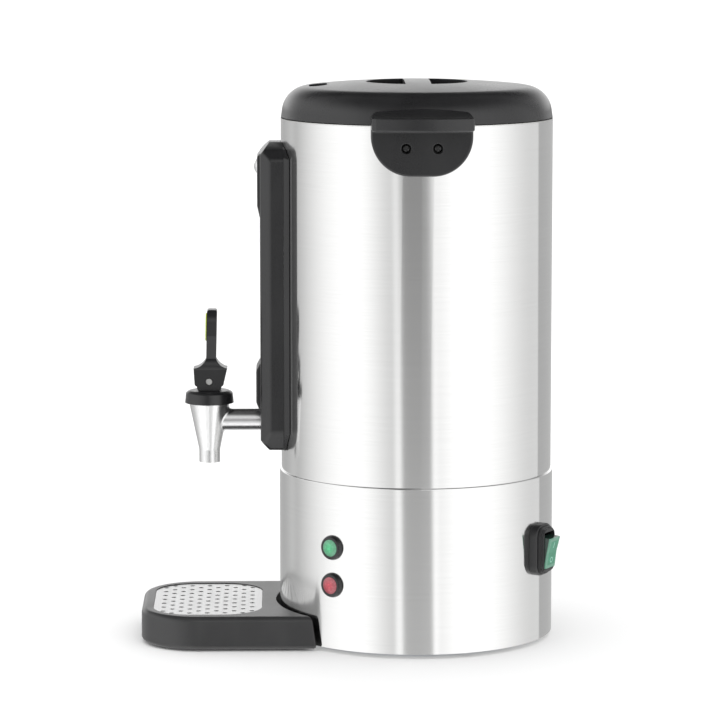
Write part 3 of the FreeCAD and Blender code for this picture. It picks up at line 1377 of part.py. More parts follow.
def build_switch():
    half_x = S.frame_width / 2
    half_y = S.frame_height / 2
    sunk = Size.of(-2.5)
    frame = new_body("switch_frame")
    sketch = new_sketch(frame, "XY", sunk)
    rounded_rectangle(sketch, -half_x, -half_y, half_x, half_y, S.frame_corner)
    pad(frame, sketch, S.frame_stand - sunk)
    soften(frame, lambda edge: flat_at(edge, S.frame_stand), 1.2)
    hole_x = half_x - S.frame_rim
    hole_y = half_y - S.frame_rim
    corner = S.frame_corner - S.frame_rim
    sketch = new_sketch(frame, "XY", sunk)
    rounded_rectangle(sketch, -hole_x, -hole_y, hole_x, hole_y, corner)
    pocket(frame, sketch, back=True)
    curved_back(frame, S.base_radius + 0.1)
    keep(on_shell(frame, S.switch_angle, S.switch_level))

    boot = new_body("switch_boot")
    levels = (sunk, S.boot_first_step, S.boot_second_step, S.boot_stand)
    for number in range(3):
        sketch = new_sketch(boot, "XY", levels[number])
        inset = 0.2 + S.boot_step * number
        rounded_rectangle(sketch, inset - hole_x, inset - hole_y, hole_x - inset, hole_y - inset, corner - inset)
        pad(boot, sketch, levels[number + 1] - levels[number])
    soften(boot, lambda edge: flat_at(edge, S.boot_stand), 0.6)
    gap_x = S.rocker_width / 2 + S.seat_gap + 0.1
    gap_y = S.rocker_half_height + 2.4
    sketch = new_sketch(boot, "XY", sunk)
    rounded_rectangle(sketch, -gap_x, -gap_y, gap_x, gap_y, Size.of(1.5))
    pocket(boot, sketch, back=True)
    gap_x = switch_box_width() / 2 + 0.1
    sketch = new_sketch(boot, "XY", S.boot_lip)
    rounded_rectangle(sketch, -gap_x, -gap_y, gap_x, gap_y, Size.of(1.5))
    pocket(boot, sketch)
    curved_back(boot, S.base_radius + 0.1)
    keep(on_shell(boot, S.switch_angle, S.switch_level))

    housing = new_body("switch_body")
    half_x = switch_box_width() / 2
    half_y = switch_box_height() / 2
    cheek_top = S.rocker_pivot + S.rocker_pin + 1.2
    block(housing, "Additive", (-half_x, -half_y, -S.switch_depth), (half_x, half_y, cheek_top))
    inside_x = half_x - S.cheek_thickness
    block(housing, "Subtractive", (-inside_x, -half_y - 1, -6.2), (inside_x, half_y + 1, cheek_top + 1))
    for side in (-1, 1):
        low, high = (-half_y - 1, Size.of(-5.0)) if side < 0 else (Size.of(5.0), half_y + 1)
        block(housing, "Subtractive", (-half_x - 1, low, 1.0), (half_x + 1, high, cheek_top + 1))
    rod(housing, "Subtractive", S.rocker_pin + S.running_gap, 60.0, (-30, 0, S.rocker_pivot), "X")
    keep(on_shell(housing, S.switch_angle, S.switch_level))

    rocker = new_body("switch_rocker")
    side = new_sketch(rocker, "YZ")
    tall = S.rocker_half_height
    outline(side, [
        (-5, -6), (5, -6), (tall - 0.9, 0.6), (tall, S.rocker_face), (0, S.rocker_face - S.rocker_hollow),
        (-tall, S.rocker_face), (0.9 - tall, 0.6)])
    pad(rocker, side, S.rocker_width, both=True)
    soften(rocker, lambda edge: edge.BoundBox.ZMin > S.rocker_face.value - 2 and edge.BoundBox.XLength < 0.1, 0.8)
    pins = switch_box_width() - 0.3
    rod(rocker, "Additive", S.rocker_pin, pins, (-pins / 2, 0, 0), "X")
    keep(on_shell(rocker, S.switch_angle, S.switch_level, S.rocker_pivot, S.rocker_tilt))

    blades = []
    for number, (x, y) in enumerate(((-5, -7), (5, -7), (-5, 7), (5, 7))):
        blade = simple("Box", f"switch_blade_{number}", Length=S.terminal_thickness, Width=S.terminal_width,
                       Height=S.terminal_length)
        reach = S.base_radius - S.switch_depth - S.terminal_length - 0.1
        across = S.switch_angle + 90.0
        start = x - S.terminal_thickness / 2
        place(blade, reach * cosine(S.switch_angle) + start * cosine(across),
              reach * sine(S.switch_angle) + start * sine(across),
              S.switch_level + y - S.terminal_width / 2, facing_out(S.switch_angle))
        blades.append(blade)
    group("switch_terminals", blades)


# Inlet and heating
def build_gland():
    gland = nut("cable_gland", S.gland_radius + 1.5, Size.of(5.0), S.gland_bore)
    rod(gland, "Additive", S.gland_radius - 2, 12.0, (0, 0, -11.9), "Z")
    nose = new_sketch(gland, "XZ")
    outline(nose, [(S.gland_bore, 4.9), (S.gland_radius, 4.9), (S.gland_radius, S.gland_length - 4, 4.0),
                   (S.gland_radius - 3, S.gland_length), (S.gland_bore, S.gland_length)])
    revolve(gland, nose)
    rod(gland, "Subtractive", S.gland_bore, 60.0, (0, 0, -30), "Z")
    keep(on_shell(gland, S.gland_angle, S.gland_level, 0.5))
    across = S.gland_radius + 1.5
    inner = S.base_radius - S.base_wall
    hollow = inner - root(inner * inner - across * across)
    lock = nut("gland_nut", across, Size.of(4.0), S.gland_radius - 1.9)
    keep(on_shell(lock, S.gland_angle, S.gland_level, -S.base_wall - hollow - 4.1))


def build_heating():
    sump_bottom = S.sump_floor - S.tank_wall
    top = sump_bottom - 0.1
    low = top - S.heater_thickness
    heater = turned("pump_heater", [
        (0, low), (S.element_circle - S.element_radius - 0.1, low),
        (S.element_circle - S.element_radius - 0.1, low + 2.5), (S.element_circle + S.element_radius + 0.1, low + 2.5),
        (S.element_circle + S.element_radius + 0.1, low), (S.sump_radius + S.tank_wall, low),
        (S.sump_radius + S.tank_wall, top), (0, top)])
    keep(heater)
    element = simple("Torus", "heater_ring", Radius1=S.element_circle, Radius2=S.element_radius)
    centre = low + 2.4 - S.element_radius
    place(element, 0, 0, centre)
    ends = []
    for side in (-1, 1):
        pin = simple("Cylinder", f"heater_end_{side + 1}", Radius=S.element_radius * 0.6, Height=14.0)
        ends.append(place(pin, S.element_circle, side * S.element_radius * 1.5, centre - 14))
    joined = document.addObject("Part::MultiFuse", "heater_element")
    joined.Shapes = [element] + ends
    keep(joined)
    sensor_top = low - 0.1
    sensor = turned("thermostat", [
        (0, sensor_top), (0, sensor_top - S.sensor_height), (S.sensor_radius - 1, sensor_top - S.sensor_height),
        (S.sensor_radius - 1, sensor_top - 1.5), (S.sensor_radius, sensor_top - 1.5), (S.sensor_radius, sensor_top)])
    keep(sensor)
    floor = S.tank_floor - S.tank_wall - 0.1
    keep(turned("keep_warm_heater", [
        (S.keep_warm_inner, floor), (S.keep_warm_outer, floor), (S.keep_warm_outer, floor - S.keep_warm_thickness),
        (S.keep_warm_inner, floor - S.keep_warm_thickness)]))
    cutout = turned("dry_boil_cutout", [
        (0, floor), (0, floor - S.sensor_height), (S.sensor_radius - 1, floor - S.sensor_height),
        (S.sensor_radius - 1, floor - 1.5), (S.sensor_radius, floor - 1.5), (S.sensor_radius, floor)])
    keep(place(cutout, S.cutout_circle * cosine(120.0), S.cutout_circle * sine(120.0)))
    plate = S.shell_lift + S.base_wall + S.plate_thickness
    terminal = new_body("terminal_block")
    rear = S.terminal_back
    block(terminal, "Additive", (-20, rear - 14, plate + 0.05), (20, rear, plate + 15))
    for x in (-12, 0, 12):
        rod(terminal, "Subtractive", 2.6, 20.0, (x, rear - 17, plate + 6), "Y")
        rod(terminal, "Subtractive", 2.2, 6.0, (x, rear - 7, plate + 10), "Z")
    keep(terminal)


# Percolator
def build_percolator():
    foot = S.sump_floor + S.seat_gap
    inner = S.tube_radius - S.tube_wall
    tube_low = foot + 2
    stop = S.basket_bottom - 0.1
    tube = turned("pump_tube", [
        (inner, tube_low), (S.tube_radius, tube_low), (S.tube_radius, stop - 2), (S.tube_radius + 3, stop - 2),
        (S.tube_radius + 3, stop), (S.tube_radius, stop), (S.tube_radius, S.tube_top), (inner, S.tube_top)])
    keep(tube)
    rim = S.bell_radius
    wall = S.bell_wall
    neck = S.tube_radius + S.running_gap
    bell = turned("pump_bell", [
        (rim, foot), (rim, foot + 3), (rim - 4, foot + 8), (neck + 2.2, foot + 12), (neck + 2.2, foot + S.bell_height),
        (neck, foot + S.bell_height), (neck, foot + 10.5), (rim - 4.6, foot + 8 - wall), (rim - wall, foot + 2.6),
        (rim - wall, foot)])
    hole = rod(bell, "Subtractive", 1.6, 10.0, (rim * 0.6, 0, foot + 3), "Z")
    repeat_round(bell, hole, 6)
    keep(bell)

    bottom = S.basket_bottom
    top = bottom + S.basket_height
    thin = S.basket_wall
    sleeve = S.tube_radius + S.sleeve_gap
    narrow = S.basket_radius - S.basket_taper
    basket = turned("coffee_basket", [
        (S.tube_radius + S.seat_gap, bottom), (narrow, bottom), (S.basket_radius, top - 3), (S.basket_radius + 3, top - 3),
        (S.basket_radius + 3, top - 3 + thin), (S.basket_radius - thin, top - 3 + thin), (narrow - thin, bottom + thin),
        (sleeve + thin, bottom + thin), (sleeve + thin, top - 2), (sleeve, top - 2), (sleeve, bottom + thin),
        (S.tube_radius + S.seat_gap, bottom + thin)])
    for circle in (18.0, 32.0, 46.0):
        hole = rod(basket, "Subtractive", S.basket_hole_radius, 4.0, (circle, 0, bottom - 2), "Z")
        repeat_round(basket, hole, S.basket_holes)
    keep(basket)

    rest = top - 3 + thin + S.seat_gap
    lip = S.basket_radius + 3
    spreader = turned("basket_spreader", [
        (sleeve, rest + 1), (20, rest), (lip, rest), (lip, rest + S.spreader_lip),
        (lip - thin, rest + S.spreader_lip), (lip - thin, rest + thin), (20, rest + thin), (sleeve, rest + thin + 1)])
    for circle in (28.0, 44.0):
        hole = rod(spreader, "Subtractive", S.basket_hole_radius, 8.0, (circle, 0, rest - 2), "Z")
        repeat_round(spreader, hole, S.basket_holes)
    keep(spreader)


# Drip tray
def build_drip_tray():
    wide = S.tray_half_width
    arc = S.base_radius + S.tray_gap
    body = new_body("drip_tray")
    foot = tray_plan(body, S.tray_lift, wide)
    top = tray_plan(body, S.tray_height, wide - S.tray_draft)
    block_out = body.newObject("PartDesign::AdditiveLoft", "drip_tray_sides")
    block_out.Profile = foot
    block_out.Sections = [top]
    block_out.Ruled = True
    rod(body, "Subtractive", arc, S.tray_height * 3, (0, 0, -S.tray_height), "Z")
    soften(body, lambda edge: flat_at(edge, S.tray_height) and not tray_arc(edge), S.tray_top_edge)
    soften(body, lambda edge: flat_at(edge, S.tray_lift) and not tray_arc(edge), S.tray_foot_edge)
    length = S.grille_length / 2 + S.seat_gap
    width = S.grille_width / 2 + S.seat_gap
    centre = -S.grille_centre
    seat = S.tray_height - S.grille_sink - S.grille_thickness - 0.1
    recess = new_sketch(body, "XY", seat)
    rounded_rectangle(recess, -width, centre - length, width, centre + length, S.grille_corner)
    pocket(body, recess, S.tray_height, back=True)
    inset = S.grille_ledge
    well = new_sketch(body, "XY", S.reservoir_floor)
    rounded_rectangle(well, inset - width, centre - length + inset, width - inset, centre + length - inset,
                      S.grille_corner - inset)
    pocket(body, well, S.tray_height, back=True)
    tongue = S.tongue_half_width
    low = S.tray_lift + 0.1
    block(body, "Additive", (-tongue, -arc - 4, low), (tongue, -S.tongue_end, low + S.tongue_thickness))
    for x in (-1, 1):
        for y in (arc + 14, S.tray_front - 22):
            rod(body, "Additive", S.tray_foot_radius, S.tray_lift + 1, (x * wide * 0.65, -y, 0), "Z")
    keep(body)


def tray_plan(body, level, wide):
    """The tray's outline at a level, with a straight rear that the urn's curve is then cut from."""
    corner = S.tray_corner
    rear = S.tray_front - S.tray_reach * 1.4
    plan = new_sketch(body, "XY", level)
    outline(plan, [
        (-wide, -rear), (-wide, corner - S.tray_front, corner), (corner - wide, -S.tray_front),
        (wide - corner, -S.tray_front, corner), (wide, corner - S.tray_front), (wide, -rear)])
    return plan


def tray_arc(edge):
    """The edge that follows the urn's body."""
    middle = edge.valueAt((edge.FirstParameter + edge.LastParameter) / 2)
    reach = math.hypot(middle.x, middle.y)
    return abs(reach - S.base_radius.value - S.tray_gap.value) < 0.5


def build_drip_grille():
    length = S.grille_length / 2
    width = S.grille_width / 2
    centre = -S.grille_centre
    body = new_body("drip_grille")
    level = S.tray_height - S.grille_sink - S.grille_thickness
    plate = new_sketch(body, "XY", level)
    rounded_rectangle(plate, -width, centre - length, width, centre + length, S.grille_corner)
    pad(body, plate, S.grille_thickness)
    pitch = S.hole_pitch
    across = S.hole_pitch_across
    reach = across * (S.hole_rows - 1)
    run = pitch * 2 * (S.hole_columns - 1)
    punch(body, level, -reach / 2, centre - run / 2, reach, run, S.hole_rows, S.hole_columns)
    reach = across * S.hole_rows
    run = pitch * 2 * (S.hole_columns - 2)
    punch(body, level, -reach / 2, centre - run / 2, reach, run, S.hole_rows + 1, S.hole_columns - 1)
    keep(body)


def punch(body, level, x, y, reach, run, rows, columns):
    """A field of round holes from one corner hole, repeated along X and along Y."""
    start = new_sketch(body, "XY", level)
    ring(start, S.hole_radius, x, y)
    first = pocket(body, start, back=True)
    across = document.addObject("PartDesign::LinearPattern", f"{body.Name}_rows")
    across.Direction = (start, ["H_Axis"])
    set_size(across, "Length", reach)
    set_size(across, "Occurrences", rows)
    along = document.addObject("PartDesign::LinearPattern", f"{body.Name}_columns")
    along.Direction = (start, ["V_Axis"])
    set_size(along, "Length", run)
    set_size(along, "Occurrences", columns)
    field = body.newObject("PartDesign::MultiTransform", f"{body.Name}_field")
    field.Originals = [first]
    field.Transformations = [across, along]
    body.Tip = field


def build_all():
    build_base_shell()
    build_base_plate()
    build_outer_jacket()
    build_inner_tank()
    build_lid_shell()
    build_lid_liner()
    build_handle("near_handle", 0)
    build_handle("far_handle", 180)
    build_handle_fixings()
    build_gauge_cover()
    build_gauge_frame()
    build_gauge_fittings()
    build_tap()
    build_tee()
    build_lever()
    build_lever_trim()
    lamp_nuts = [build_lamp("green", S.green_level), build_lamp("red", S.red_level)]
    group("lamp_nuts", lamp_nuts)
    build_switch()
    build_gland()
    build_heating()
    build_percolator()
    build_drip_tray()
    build_drip_grille()


def check_and_write():
    document.recompute()
    for item in document.Objects:
        if "Invalid" in item.State or "Error" in item.State:
            raise RuntimeError(f"{item.Label} did not compute: {item.State}")
    os.makedirs("parts", exist_ok=True)
    for node in nodes:
        shape = node.Shape
        if shape.isNull() or not shape.isValid() or not shape.Solids:
            raise RuntimeError(f"{node.Label} has no valid solid")
        shape.exportStep(f"parts/{node.Label}.step")
        print(f"{node.Label}: {len(shape.Solids)} solid, {shape.Volume:.0f} mm3")


build_all()
check_and_write()
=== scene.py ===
"""Looks of a coffee urn: its finishes, its small trim, and the studio round it.

Lengths are in metres, and angles are in degrees where nothing else is said.
"""

import json
import logging
import math
from dataclasses import dataclass, field
from enum import Enum
from typing import Any, Iterable, Protocol, Sequence, Union

import bmesh
import bpy
from mathutils import Matrix, Vector


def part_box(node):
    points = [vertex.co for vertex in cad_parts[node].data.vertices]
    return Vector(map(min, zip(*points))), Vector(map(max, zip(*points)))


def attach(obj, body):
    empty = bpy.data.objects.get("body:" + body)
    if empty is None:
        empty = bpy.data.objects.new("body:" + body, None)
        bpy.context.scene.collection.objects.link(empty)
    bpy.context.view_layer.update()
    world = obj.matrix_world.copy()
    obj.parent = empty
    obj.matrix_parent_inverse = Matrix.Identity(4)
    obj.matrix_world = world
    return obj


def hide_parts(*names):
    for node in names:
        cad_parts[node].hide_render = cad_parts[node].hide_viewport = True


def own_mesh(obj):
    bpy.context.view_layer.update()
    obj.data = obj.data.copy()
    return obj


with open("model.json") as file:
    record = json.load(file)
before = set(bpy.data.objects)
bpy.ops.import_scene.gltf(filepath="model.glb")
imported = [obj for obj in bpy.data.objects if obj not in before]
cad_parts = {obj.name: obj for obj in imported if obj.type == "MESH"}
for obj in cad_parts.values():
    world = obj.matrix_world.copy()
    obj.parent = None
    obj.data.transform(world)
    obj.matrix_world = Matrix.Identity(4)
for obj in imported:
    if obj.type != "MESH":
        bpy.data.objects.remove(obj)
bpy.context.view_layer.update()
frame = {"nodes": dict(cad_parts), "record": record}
LOG = logging.getLogger("urn")
EDGE_SAMPLES = 6
NOISE_MEAN = 0.5
WHITE = (1.0, 1.0, 1.0, 1.0)

Triple = tuple[float, float, float]
Colour = Triple
Span = tuple[float, float]
Number = Union[float, "Field"]


def grey(level: float) -> Colour:
    """Makes a neutral colour."""
    return (level, level, level)


class Field:
    """A value that changes over a surface, held as one output of a shader node."""

    def __init__(self, graph: "Graph", socket: bpy.types.NodeSocket) -> None:
        """Keeps a socket and the graph that it belongs to.

        Args:
            graph: The graph of the material or of the world.
            socket: The output that carries the value.
        """
        self.graph = graph
        self.socket = socket

    def math(self, operation: str, *values: Number) -> "Field":
        """Adds one Math node.

        Args:
            operation: Blender's name of the operation.
            values: The operands, in order.

        Returns:
            The node's result.
        """
        inputs = dict(enumerate(values))
        return self.graph.field("ShaderNodeMath", {"operation": operation}, inputs, 0)

    def __add__(self, other: Number) -> "Field":
        """Adds a number or a field."""
        return self.math("ADD", self, other)

    def __radd__(self, other: float) -> "Field":
        """Adds to a number."""
        return self.math("ADD", other, self)

    def __sub__(self, other: Number) -> "Field":
        """Takes a number or a field away."""
        return self.math("SUBTRACT", self, other)

    def __rsub__(self, other: float) -> "Field":
        """Is taken away from a number."""
        return self.math("SUBTRACT", other, self)

    def __mul__(self, other: Number) -> "Field":
        """Multiplies by a number or a field."""
        return self.math("MULTIPLY", self, other)

    def __rmul__(self, other: float) -> "Field":
        """Multiplies a number."""
        return self.math("MULTIPLY", other, self)

    def __truediv__(self, other: Number) -> "Field":
        """Divides by a number or a field."""
        return self.math("DIVIDE", self, other)

    def __abs__(self) -> "Field":
        """Drops the sign."""
        return self.math("ABSOLUTE", self)

    def step(self, start: float, end: float) -> "Field":
        """Rises smoothly from 0 at start to 1 at end.

        Args:
            start: Where the rise begins.
            end: Where it is complete.

        Returns:
            The smooth step.
        """
        settings = {"interpolation_type": "SMOOTHSTEP"}
        return self.graph.field("ShaderNodeMapRange", settings, {0: self, 1: start, 2: end}, 0)


class Graph:
    """The nodes of one material or of the world."""

    def __init__(self, owner: Union[bpy.types.Material, bpy.types.World]) -> None:
        """Empties the owner's node tree.

        Args:
            owner: The material or the world.
        """
        owner.use_nodes = True
        self.owner = owner
        self.nodes = owner.node_tree.nodes
        self.links = owner.node_tree.links
        self.nodes.clear()

    @classmethod
    def of_material(cls, name: str) -> "Graph":
        """Makes a new material and its empty graph."""
        return cls(bpy.data.materials.new(name))

    def node(self, kind: str, settings: dict[str, Any], inputs: dict[Any, Any]) -> bpy.types.Node:
        """Adds one node, with its settings before its sockets.

        Args:
            kind: The node's type.
            settings: Properties of the node, by name.
            inputs: Values, fields or sockets for the node's inputs, by name or number.

        Returns:
            The node.
        """
        made = self.nodes.new(kind)
        for name, value in settings.items():
            setattr(made, name, value)
        for name, value in inputs.items():
            if isinstance(value, Field):
                value = value.socket
            if isinstance(value, bpy.types.NodeSocket):
                self.links.new(value, made.inputs[name])
            else:
                made.inputs[name].default_value = value
        return made

    def field(self, kind: str, settings: dict[str, Any], inputs: dict[Any, Any], output: Any) -> Field:
        """Adds a node and takes one of its outputs.

        Args:
            kind: The node's type.
            settings: The node's properties.
            inputs: The node's inputs.
            output: The output's name or number.

        Returns:
            The output as a field.
        """
        return Field(self, self.node(kind, settings, inputs).outputs[output])

    def place(self) -> Field:
        """Gives the point on the object, in metres."""
        return self.field("ShaderNodeTexCoord", {}, {}, "Object")

    def axes(self, place: Field) -> tuple[Field, Field, Field]:
        """Splits a point into its three coordinates."""
        split = self.node("ShaderNodeSeparateXYZ", {}, {0: place})
        return tuple(Field(self, output) for output in split.outputs)

    def along(self, place: Field, axis: Vector, start: Vector) -> Field:
        """Gives how far a point stands along an axis.

        Args:
            place: The point.
            axis: The axis's direction, of length 1.
            start: Where the axis starts.

        Returns:
            The distance, in metres.
        """
        settings = {"operation": "DOT_PRODUCT"}
        reach = self.field("ShaderNodeVectorMath", settings, {0: place, 1: tuple(axis)}, "Value")
        return reach - axis.dot(start)

    def away(self, place: Field, middle: Vector) -> Field:
        """Gives how far a point is from a middle, in metres."""
        settings = {"operation": "DISTANCE"}
        return self.field("ShaderNodeVectorMath", settings, {0: place, 1: tuple(middle)}, "Value")

    def stretched(self, place: Field, scale: Triple) -> Field:
        """Scales a point along each axis."""
        return self.field("ShaderNodeVectorMath", {"operation": "MULTIPLY"}, {0: place, 1: scale}, 0)

    def noise(self, place: Field, scale: float, detail: float = 3.0, roughness: float = 0.55) -> Field:
        """Gives noise from 0 to 1.

        Args:
            place: The point at which it is read.
            scale: How many features there are in a metre.
            detail: How many finer layers it has.
            roughness: How strong the finer layers are.

        Returns:
            The noise.
        """
        inputs = {"Vector": place, "Scale": scale, "Detail": detail, "Roughness": roughness}
        return self.field("ShaderNodeTexNoise", {}, inputs, 0)

    def cells(self, place: Field, scale: float) -> Field:
        """Gives the distance to the nearest of many scattered points."""
        return self.field("ShaderNodeTexVoronoi", {}, {"Vector": place, "Scale": scale}, "Distance")

    def mixed(self, factor: Number, first: Any, second: Any) -> Field:
        """Mixes two colours.

        Args:
            factor: 0 for the first, 1 for the second.
            first: A colour or a field.
            second: A colour or a field.

        Returns:
            The mixed colour.
        """
        colours = [value if isinstance(value, Field) else (*value, 1.0) for value in (first, second)]
        inputs = {0: factor, 6: colours[0], 7: colours[1]}
        return self.field("ShaderNodeMix", {"data_type": "RGBA"}, inputs, 2)

    def bumped(self, height: Field, distance: float, strength: float = 1.0, worn: float = 0.0) -> Field:
        """Turns a height into a normal.

        Args:
            height: The height, from 0 to 1.
            distance: How high 1 stands, in metres.
            strength: How much of it shows.
            worn: The radius to which crisp edges look worn, in metres.

        Returns:
            The normal.
        """
        inputs = {"Height": height, "Distance": distance, "Strength": strength}
        if worn > 0.0:
            inputs["Normal"] = self.field("ShaderNodeBevel", {"samples": EDGE_SAMPLES}, {"Radius": worn}, 0)
        return self.field("ShaderNodeBump", {}, inputs, 0)

    def close(self, inputs: dict[str, Any]) -> bpy.types.Material:
        """Ends the material in one Principled shader.

        Args:
            inputs: The shader's inputs.

        Returns:
            The finished material.
        """
        shader = self.node("ShaderNodeBsdfPrincipled", {}, inputs)
        self.node("ShaderNodeOutputMaterial", {}, {"Surface": shader.outputs[0]})
        return self.owner


class Grain(Enum):
    """How the surface of a metal was worked, as the scale of its marks along X, Y and Z."""

    BRUSHED_ROUND = (14.0, 14.0, 2600.0)
    BRUSHED_ALONG = (60.0, 2200.0, 60.0)
    TURNED = (900.0, 900.0, 120.0)
    PLAIN = (260.0, 260.0, 260.0)
    CAST = (420.0, 420.0, 420.0)


class Finish(Protocol):
    """What every finish can do."""

    def material(self) -> bpy.types.Material:
        """Builds the material."""


@dataclass(frozen=True)
class Metal:
    """A metal with its working marks, coarser streaks and faint clouding."""

    name: str
    pale: Colour
    dark: Colour
    grain: Grain
    roughness: float
    spread: float = 0.08
    relief: float = 0.000006
    stretch: float = 0.0
    stretch_turn: float = 0.25
    clouds: float = 22.0
    cloud_share: float = 0.6
    mark_share: float = 0.6
    mark_ends: Span = (0.3, 0.7)
    streak_scale: float = 0.23
    streak_relief: float = 0.5

    def material(self) -> bpy.types.Material:
        """Builds the material.

        Returns:
            The finished material.
        """
        graph = Graph.of_material(self.name)
        place = graph.place()
        marks = graph.noise(graph.stretched(place, self.grain.value), scale=1.0, detail=4.0, roughness=0.65)
        coarse = tuple(self.streak_scale * value for value in self.grain.value)
        streaks = graph.noise(graph.stretched(place, coarse), scale=1.0, detail=2.0)
        clouds = graph.noise(place, self.clouds)
        worked = self.mark_share * marks.step(*self.mark_ends) + (1.0 - self.mark_share) * clouds
        uneven = (streaks - NOISE_MEAN) + self.cloud_share * (clouds - NOISE_MEAN)
        return graph.close({
            "Base Color": graph.mixed(worked, self.dark, self.pale),
            "Metallic": 1.0,
            "Roughness": self.roughness + self.spread * uneven,
            "Anisotropic": self.stretch,
            "Anisotropic Rotation": self.stretch_turn,
            "Normal": graph.bumped(marks + self.streak_relief * streaks, self.relief),
        })


@dataclass(frozen=True)
class Heated:
    """Steel that heat has tinted straw and blue in patches."""

    name: str
    base: Colour = (0.30, 0.29, 0.28)
    straw: Colour = (0.36, 0.27, 0.16)
    blue: Colour = (0.17, 0.19, 0.26)
    patch_scale: float = 38.0
    straw_ends: Span = (0.45, 0.62)
    blue_ends: Span = (0.62, 0.74)
    skin_scale: float = 900.0
    roughness: float = 0.38
    spread: float = 0.2
    relief: float = 0.00001

    def material(self) -> bpy.types.Material:
        """Builds the material.

        Returns:
            The finished material.
        """
        graph = Graph.of_material(self.name)
        place = graph.place()
        patches = graph.noise(place, self.patch_scale)
        skin = graph.noise(place, self.skin_scale)
        tint = graph.mixed(patches.step(*self.straw_ends), self.base, self.straw)
        return graph.close({
            "Base Color": graph.mixed(patches.step(*self.blue_ends), tint, self.blue),
            "Metallic": 1.0,
            "Roughness": self.roughness + self.spread * skin,
            "Normal": graph.bumped(skin, self.relief),
        })


@dataclass(frozen=True)
class Galvanised:
    """Zinc-coated sheet with its flat crystal patches."""

    name: str
    pale: Colour = (0.56, 0.58, 0.60)
    dark: Colour = (0.40, 0.42, 0.44)
    flake_scale: float = 140.0
    flake_share: float = 0.7
    dust_scale: float = 30.0
    roughness: float = 0.42
    spread: float = 0.18
    relief: float = 0.00002

    def material(self) -> bpy.types.Material:
        """Builds the material.

        Returns:
            The finished material.
        """
        graph = Graph.of_material(self.name)
        place = graph.place()
        inputs = {"Vector": place, "Scale": self.flake_scale}
        shade = graph.axes(graph.field("ShaderNodeTexVoronoi", {}, inputs, "Color"))[0]
        dust = graph.noise(place, self.dust_scale, detail=4.0)
        worn = self.flake_share * shade + (1.0 - self.flake_share) * dust
        return graph.close({
            "Base Color": graph.mixed(worn, self.dark, self.pale),
            "Metallic": 1.0,
            "Roughness": self.roughness + self.spread * shade,
            "Normal": graph.bumped(dust, self.relief),
        })


@dataclass(frozen=True)
class Moulded:
    """An opaque plastic with a fine grain, faint flow clouds, a dusting and softly worn edges."""

    name: str
    colour: Colour
    rubbed: Colour
    roughness: float
    spread: float = 0.10
    grain: float = 1500.0
    relief: float = 0.00003
    coat: float = 0.0
    worn: float = 0.0007
    flow_scale: float = 34.0
    flow_stretch: Triple = (1.0, 1.0, 0.35)
    flow_ends: Span = (0.35, 0.75)
    flow_share: float = 0.55
    dust_scale: float = 5200.0
    dust_share: float = 0.35

    def material(self) -> bpy.types.Material:
        """Builds the material.

        Returns:
            The finished material.
        """
        graph = Graph.of_material(self.name)
        place = graph.place()
        grain = graph.noise(place, self.grain, detail=2.0, roughness=0.6)
        flow = graph.noise(graph.stretched(place, self.flow_stretch), self.flow_scale)
        dust = graph.noise(place, self.dust_scale, detail=1.0)
        rubbing = self.flow_share * flow.step(*self.flow_ends) + self.dust_share * dust
        uneven = (flow - NOISE_MEAN) + (grain - NOISE_MEAN)
        return graph.close({
            "Base Color": graph.mixed(rubbing, self.colour, self.rubbed),
            "Roughness": self.roughness + self.spread * uneven,
            "Coat Weight": self.coat,
            "Coat Roughness": 0.12,
            "Normal": graph.bumped(grain, self.relief, worn=self.worn),
        })


@dataclass(frozen=True)
class Rubber:
    """Soft rubber or silicone with a dull, slightly dusty skin."""

    name: str
    colour: Colour
    bloom: Colour
    roughness: float = 0.72
    spread: float = 0.14
    sheen: float = 0.15
    skin_scale: float = 1100.0
    skin_share: float = 0.2
    bloom_scale: float = 55.0
    bloom_ends: Span = (0.4, 0.8)
    bloom_share: float = 0.6
    relief: float = 0.00003

    def material(self) -> bpy.types.Material:
        """Builds the material.

        Returns:
            The finished material.
        """
        graph = Graph.of_material(self.name)
        place = graph.place()
        skin = graph.noise(place, self.skin_scale)
        bloom = graph.noise(place, self.bloom_scale).step(*self.bloom_ends)
        dusty = self.bloom_share * bloom + self.skin_share * skin
        return graph.close({
            "Base Color": graph.mixed(dusty, self.colour, self.bloom),
            "Roughness": self.roughness + self.spread * (skin - NOISE_MEAN),
            "Sheen Weight": self.sheen,
            "Normal": graph.bumped(skin, self.relief),
        })


@dataclass(frozen=True)
class LensTint:
    """The colours of a lamp's lens."""

    middle: Colour
    rim: Colour
    deep: Colour
    glow: Colour


class Lamp(Enum):
    """The two pilot lamps, each as the colours of its lens."""

    GREEN = LensTint((0.04, 0.52, 0.20), (0.16, 0.32, 0.23), (0.03, 0.20, 0.09), (0.08, 0.85, 0.34))
    RED = LensTint((0.55, 0.04, 0.065), (0.36, 0.14, 0.15), (0.22, 0.02, 0.035), (0.85, 0.06, 0.10))


